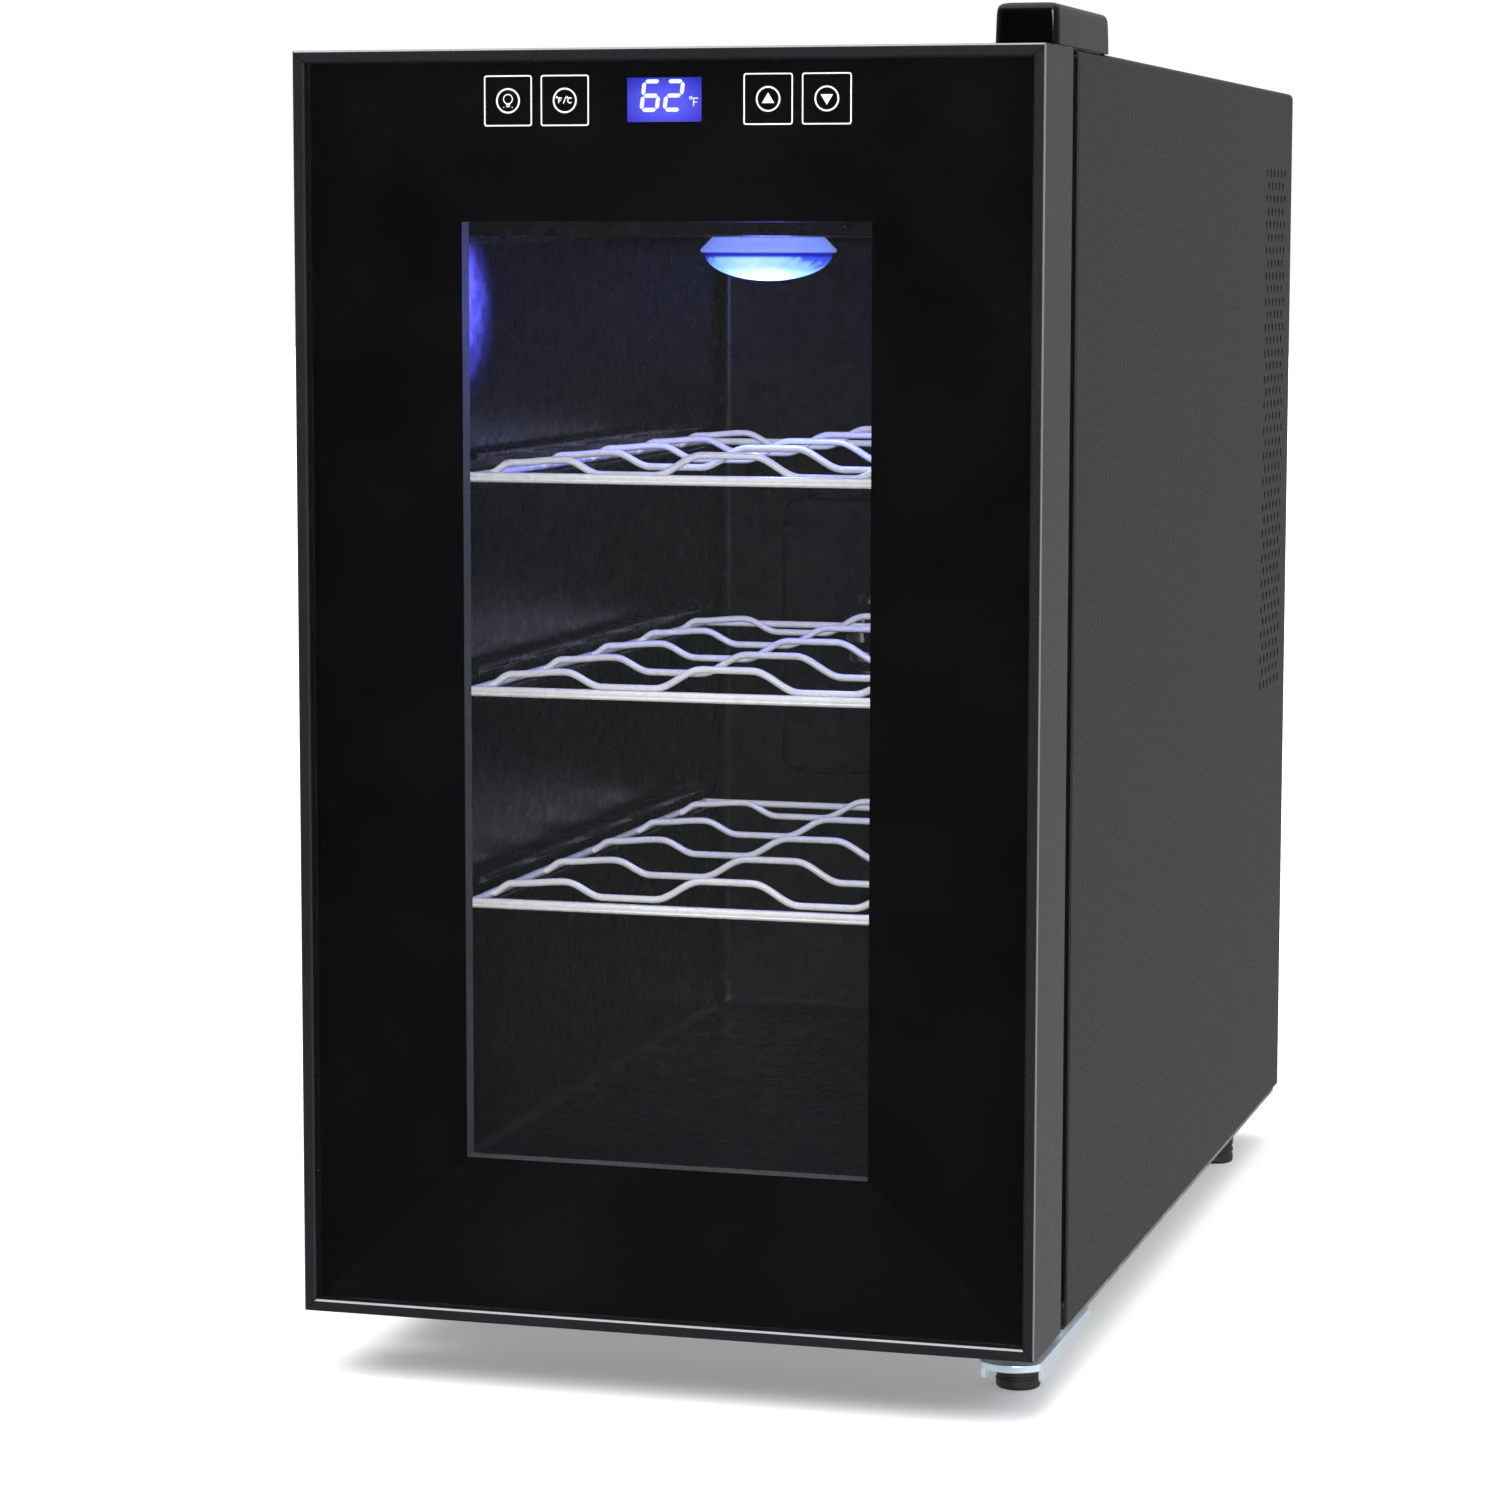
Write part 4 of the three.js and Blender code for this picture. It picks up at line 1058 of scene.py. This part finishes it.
def display():
    """The display's body, its lit face, and two digits with a temperature unit in front of it."""
    lo, hi = mm("lcd_module")
    body = bevel(block("display_body", lo, hi), 0.5, 2)
    piece(body, "door", "lcd_screen", BLACK_PLASTIC, "lcd_module")
    face = centred(0, KEY_Z, SCREEN_HALF[0] - 0.05, SCREEN_HALF[1] - 0.05, 0.35)
    glass = prism("display_screen", face, (GLASS_BACK + 0.22, lo[1] - 0.02), "Y")
    piece(glass, "door", "lcd_screen", SCREEN)
    ink = Ink((GLASS_BACK + 0.12, GLASS_BACK + 0.2))
    low = KEY_Z - 3.3
    digit(ink, "6", -7.9, low)
    digit(ink, "2", 0.1, low)
    x, z = 10.1, KEY_Z - 0.6
    ink.stroke([(x, z - 1.6), (x, z + 1.0), (x + 1.5, z + 1.0)], 0.34)
    ink.stroke([(x, z - 0.25), (x + 1.2, z - 0.25)], 0.3)
    ink.circle(x - 0.95, z + 1.15, 0.42, 0.26)
    piece(ink.object("display_digits"), "door", "lcd_screen", DIGIT_GLOW)


def window_frames():
    """The bezel whose grey inner edge shows round the window, the spacer behind it, and the inner pane."""
    lo, hi = mm("window_bezel")
    opening = prism("opening", rounded(*WINDOW, 0.6), (lo[1] - 5, hi[1] + 5), "Y")
    bezel = cut(block("window_bezel_frame", lo, hi), opening)
    piece(bezel, "door", "gloss_cover", BEZEL, "window_bezel")
    lo, hi = mm("spacer_frame")
    y0, y1 = lo[1], hi[1]
    section = [(0, y0, 1), (0, y1, 1), (8, y1, 0.6), (8, y0, 0.6)]
    spacer = slab("spacer_frame_bar", lo, hi, section, closed=True)
    piece(spacer, "door", "spacer_aluminium", SPACER, "spacer_frame")
    lo, hi = mm("inner_glass")
    y0, y1 = lo[1], hi[1]
    section = [(0.4, y0, 1.2), (0, y0 + 0.4, 1.2), (0, y1 - 0.4, 1.2), (0.4, y1, 1.2)]
    piece(slab("inner_glass_pane", lo, hi, section), "door", "tinted_glass", INNER_GLASS, "inner_glass")


def door_liner():
    """The moulded frame behind the door, with a shallow groove for the gasket."""
    lo, hi = mm("door_liner")
    y0, y1 = lo[1], hi[1]
    wide = hi[0] - 84
    section = [
        (0, y0, 4), (0, y1 - 1.6, 4), (0.3, y1 - 0.5, 3.7), (1.4, y1, 3.2), (14, y1, 3), (14.4, y1 - 0.5, 3),
        (15.2, y1 - 0.9, 3), (17.2, y1 - 0.9, 3), (18, y1 - 0.5, 3), (18.4, y1, 3), (wide - 4, y1, 5),
        (wide - 1.4, y1 - 0.5, 3), (wide - 0.3, y1 - 2, 2), (wide, y1 - 5, 1.5), (wide, y0, 1.5),
    ]
    liner = slab("door_liner_moulding", lo, hi, section, closed=True)
    piece(liner, "door", "liner_plastic", DOOR_LINER, "door_liner")


def door_gasket():
    """A soft seal: a base strip, and above it a bead that is wider than its neck."""
    lo, hi = mm("door_gasket")
    y0, deep = lo[1], hi[1] - lo[1]
    outside = [(0, 0), (0, 0.14), (1.6, 0.2), (1.8, 0.32), (0.5, 0.44), (0.35, 0.78), (0.8, 0.93)]
    inside = [(11.2, 0.93), (11.65, 0.78), (11.5, 0.44), (10.2, 0.32), (10.4, 0.2), (12, 0.14), (12, 0)]
    section = [(inset, y0 + deep * share, 3) for inset, share in outside]
    section += [(1.8, hi[1], 3), (10.2, hi[1], 2)]
    section += [(inset, y0 + deep * share, 2) for inset, share in inside]
    seal = slab("door_gasket_seal", lo, hi, section, closed=True)
    piece(seal, "door", "gasket_rubber", SEAL_RUBBER, "door_gasket", angle=50)


# ---- shelves ----

SHELF_LEVELS = (160, 235.3, 310.6)
RAIL_X = 88
CROSS_WIRES = [-175 + 58 * i for i in range(5)]
# A cross wire's height over the rails at distances from the middle.
WAVE = ((0, 7.6), (9, 7.6), (27, 0.3), (46, 0.3), (60, 5.3), (80, 4), (RAIL_X, 0))


def wave_height(x):
    """The wave's height, its knots joined by smooth curves."""
    for (x0, z0), (x1, z1) in zip(WAVE, WAVE[1:]):
        if x < x1:
            return z0 + (z1 - z0) * (1 - cos(pi * (x - x0) / (x1 - x0))) / 2
    return WAVE[-1][1]


def shelf(number):
    """A rack of two side wires, one across the back and five waved cross wires, and its front bar."""
    body = f"shelf_{number}"
    rack_node, bar_node = f"{body}_rack", f"{body}_front_bar"
    (_, y0, _), (_, y1, _) = mm(rack_node)
    level = SHELF_LEVELS[number - 1]
    wires = []
    for hand in (-1, 1):
        path = [(hand * RAIL_X, y0 + (y1 - y0 - 1.5) * i / 8, level) for i in range(9)]
        wires.append(tube("wire", path, 1.45, 16))
    wires.append(tube("wire", [(x, y1 - 2, level) for x in (-RAIL_X, 0, RAIL_X)], 1.4, 16))
    steps = 110
    stations = [-RAIL_X + 2 * RAIL_X * k / steps for k in range(steps + 1)]
    for y in CROSS_WIRES:
        wires.append(tube("wire", [(x, y, level + wave_height(abs(x))) for x in stations], 1.3, 12))
    piece(merge(f"{body}_wires", wires), body, "chrome_wire", CHROME, rack_node)
    (x0, y0, z0), (x1, y1, z1) = mm(bar_node)
    section = [(y1, z0 + 0.2), (y1, z1 - 0.2), (y1 - 0.2, z1), (y0 + 0.9, z1), (y0 + 0.35, z1 - 0.3)]
    section += [(y0 + 0.05, z1 - 1.0), (y0, level + 0.2), (y0 + 0.22, level - 0.15), (y0 + 0.3, level - 0.35)]
    section += [(y0 + 0.22, level - 0.55), (y0 + 0.02, level - 0.85), (y0 + 0.3, z0 + 0.35)]
    section += [(y0 + 0.9, z0), (y1 - 0.2, z0)]
    bar = prism(f"{body}_bar", section, (x0 + 0.05, x1 - 0.05), "X")
    piece(bar, body, "chrome_wire", CHROME, bar_node, angle=50)


# ---- assembly ----

def finish_cad(node, material):
    """A CAD node whose shape stays takes a procedural material."""
    data = frame["nodes"][node].data
    data.materials.clear()
    data.materials.append(material)


def assemble():
    cabinet_wrapper()
    rear_panel()
    inner_liner()
    power_inlet()
    foot("foot_front_right", stem=True)
    for node in ("foot_front_left", "foot_rear_right", "foot_rear_left"):
        foot(node)
    lower_bracket()
    hinge_cover()
    cold_fan_cover()
    fan_frame("cold_fan_frame", 60, 12)
    fan_frame("hot_fan_frame", 120, 25)
    fan_rotor("cold_fan_rotor", "cold_rotor", 60, 12)
    fan_rotor("hot_fan_rotor", "hot_rotor", 120, 25)
    lamp()
    for side in ("top", "bottom", "right", "left"):
        door_rail("door_rail_" + side)
    outer_glass()
    glass_border()
    key_marks()
    display()
    window_frames()
    door_liner()
    door_gasket()
    for number in (1, 2, 3):
        shelf(number)
    kept = {
        GALVANISED: ("base_pan", "mounting_plate"),
        ZINC: ("top_hinge_bracket",),
        PIN_STEEL: ("lower_hinge_pin", "top_hinge_pin"),
        DARK_STEEL: [f"{hinge}_hinge_screw_{i}" for hinge in ("lower", "top") for i in (1, 2)],
        FOAM: ("foam_insulation",),
        DOOR_FOAM: ("door_insulation",),
        BARE_ALUMINIUM: ("cold_heat_sink", "cold_block", "hot_heat_sink"),
        CERAMIC: ("peltier_module",),
        CIRCUIT: ("power_board", "led_board", "control_board"),
        BLACK_PLASTIC: ("hinge_bush_bottom", "hinge_bush_top"),
    }
    for material, nodes in kept.items():
        for node in nodes:
            finish_cad(node, material)


# ---- studio ----

def floor():
    """A large off-white floor that the object's gloss doesn't mirror."""
    mesh = bpy.data.meshes.new("studio_floor")
    r = 14.0
    mesh.from_pydata([(-r, -r, 0), (r, -r, 0), (r, r, 0), (-r, r, 0)], [], [(0, 1, 2, 3)])
    obj = add("studio_floor", mesh)
    made = Shader("studio_floor", Roughness=0.9, Specular_IOR_Level=0.0)
    made.colour(linear(243, 243, 243), 0.004, 400)
    mesh.materials.append(made.material)
    obj.visible_glossy = False


def world():
    """White behind the object; what it mirrors is dark in front and bright above and to the sides."""
    made = bpy.data.worlds.new("studio")
    scene.world = made
    made.use_nodes = True
    tree = made.node_tree
    tree.nodes.clear()

    def node(kind, inputs=None, **settings):
        return add_node(tree, kind, inputs, **settings)

    def lobe(value, start, stop, height):
        """Light that grows to a height as a part of the direction runs from start to stop."""
        inputs = {"Value": value, "From Min": start, "From Max": stop, "To Min": 0.0, "To Max": height}
        return node("MapRange", inputs, interpolation_type="SMOOTHSTEP").outputs["Result"]

    direction = node("TexCoord").outputs["Generated"]
    parts = node("SeparateXYZ", {"Vector": direction}).outputs
    total = lobe(parts["Z"], 0.25, 0.9, 1.2)
    for part in (
        lobe(parts["X"], 0.25, 0.95, 0.62),
        lobe(parts["X"], -0.35, -0.95, 0.35),
        lobe(parts["Y"], -0.2, 0.9, 0.27),
        lobe(parts["Z"], -0.02, -0.3, 0.08),
    ):
        total = node("Math", {0: total, 1: part}, operation="ADD").outputs[0]
    total = node("Math", {0: total, 1: 0.05}, operation="ADD").outputs[0]
    studio = node("Background", {"Color": (1, 1, 1, 1), "Strength": total}).outputs[0]
    white = node("Background", {"Color": (1, 1, 1, 1), "Strength": 1.0}).outputs[0]
    seen = node("LightPath").outputs["Is Camera Ray"]
    mixed = node("MixShader", {0: seen, 1: studio, 2: white}).outputs[0]
    tree.links.new(mixed, node("OutputWorld").inputs["Surface"])


def camera():
    """The view fitted to the photo, in metres and degrees."""
    tilt, roll, turn = 90 - 6.588, -0.1, 15.883
    data = bpy.data.cameras.new("camera")
    data.sensor_fit = "HORIZONTAL"
    data.sensor_width = 36
    data.lens = 104.74
    data.clip_start = 0.05
    obj = add("camera", data)
    obj.location = (0.4253, -1.6411, 0.3916)
    obj.rotation_euler = (radians(tilt), radians(roll), radians(turn))
    scene.camera = obj


camera()
assemble()
floor()
world()
light("key_sun", "SUN", 2.2, aim=(0.2, 0.3, -1), angle=radians(70))
light("front_fill", "SUN", 2.6, aim=(-0.35, 0.9, -0.35), angle=radians(24), use_shadow=False)
scene.view_settings.view_transform = "Standard"
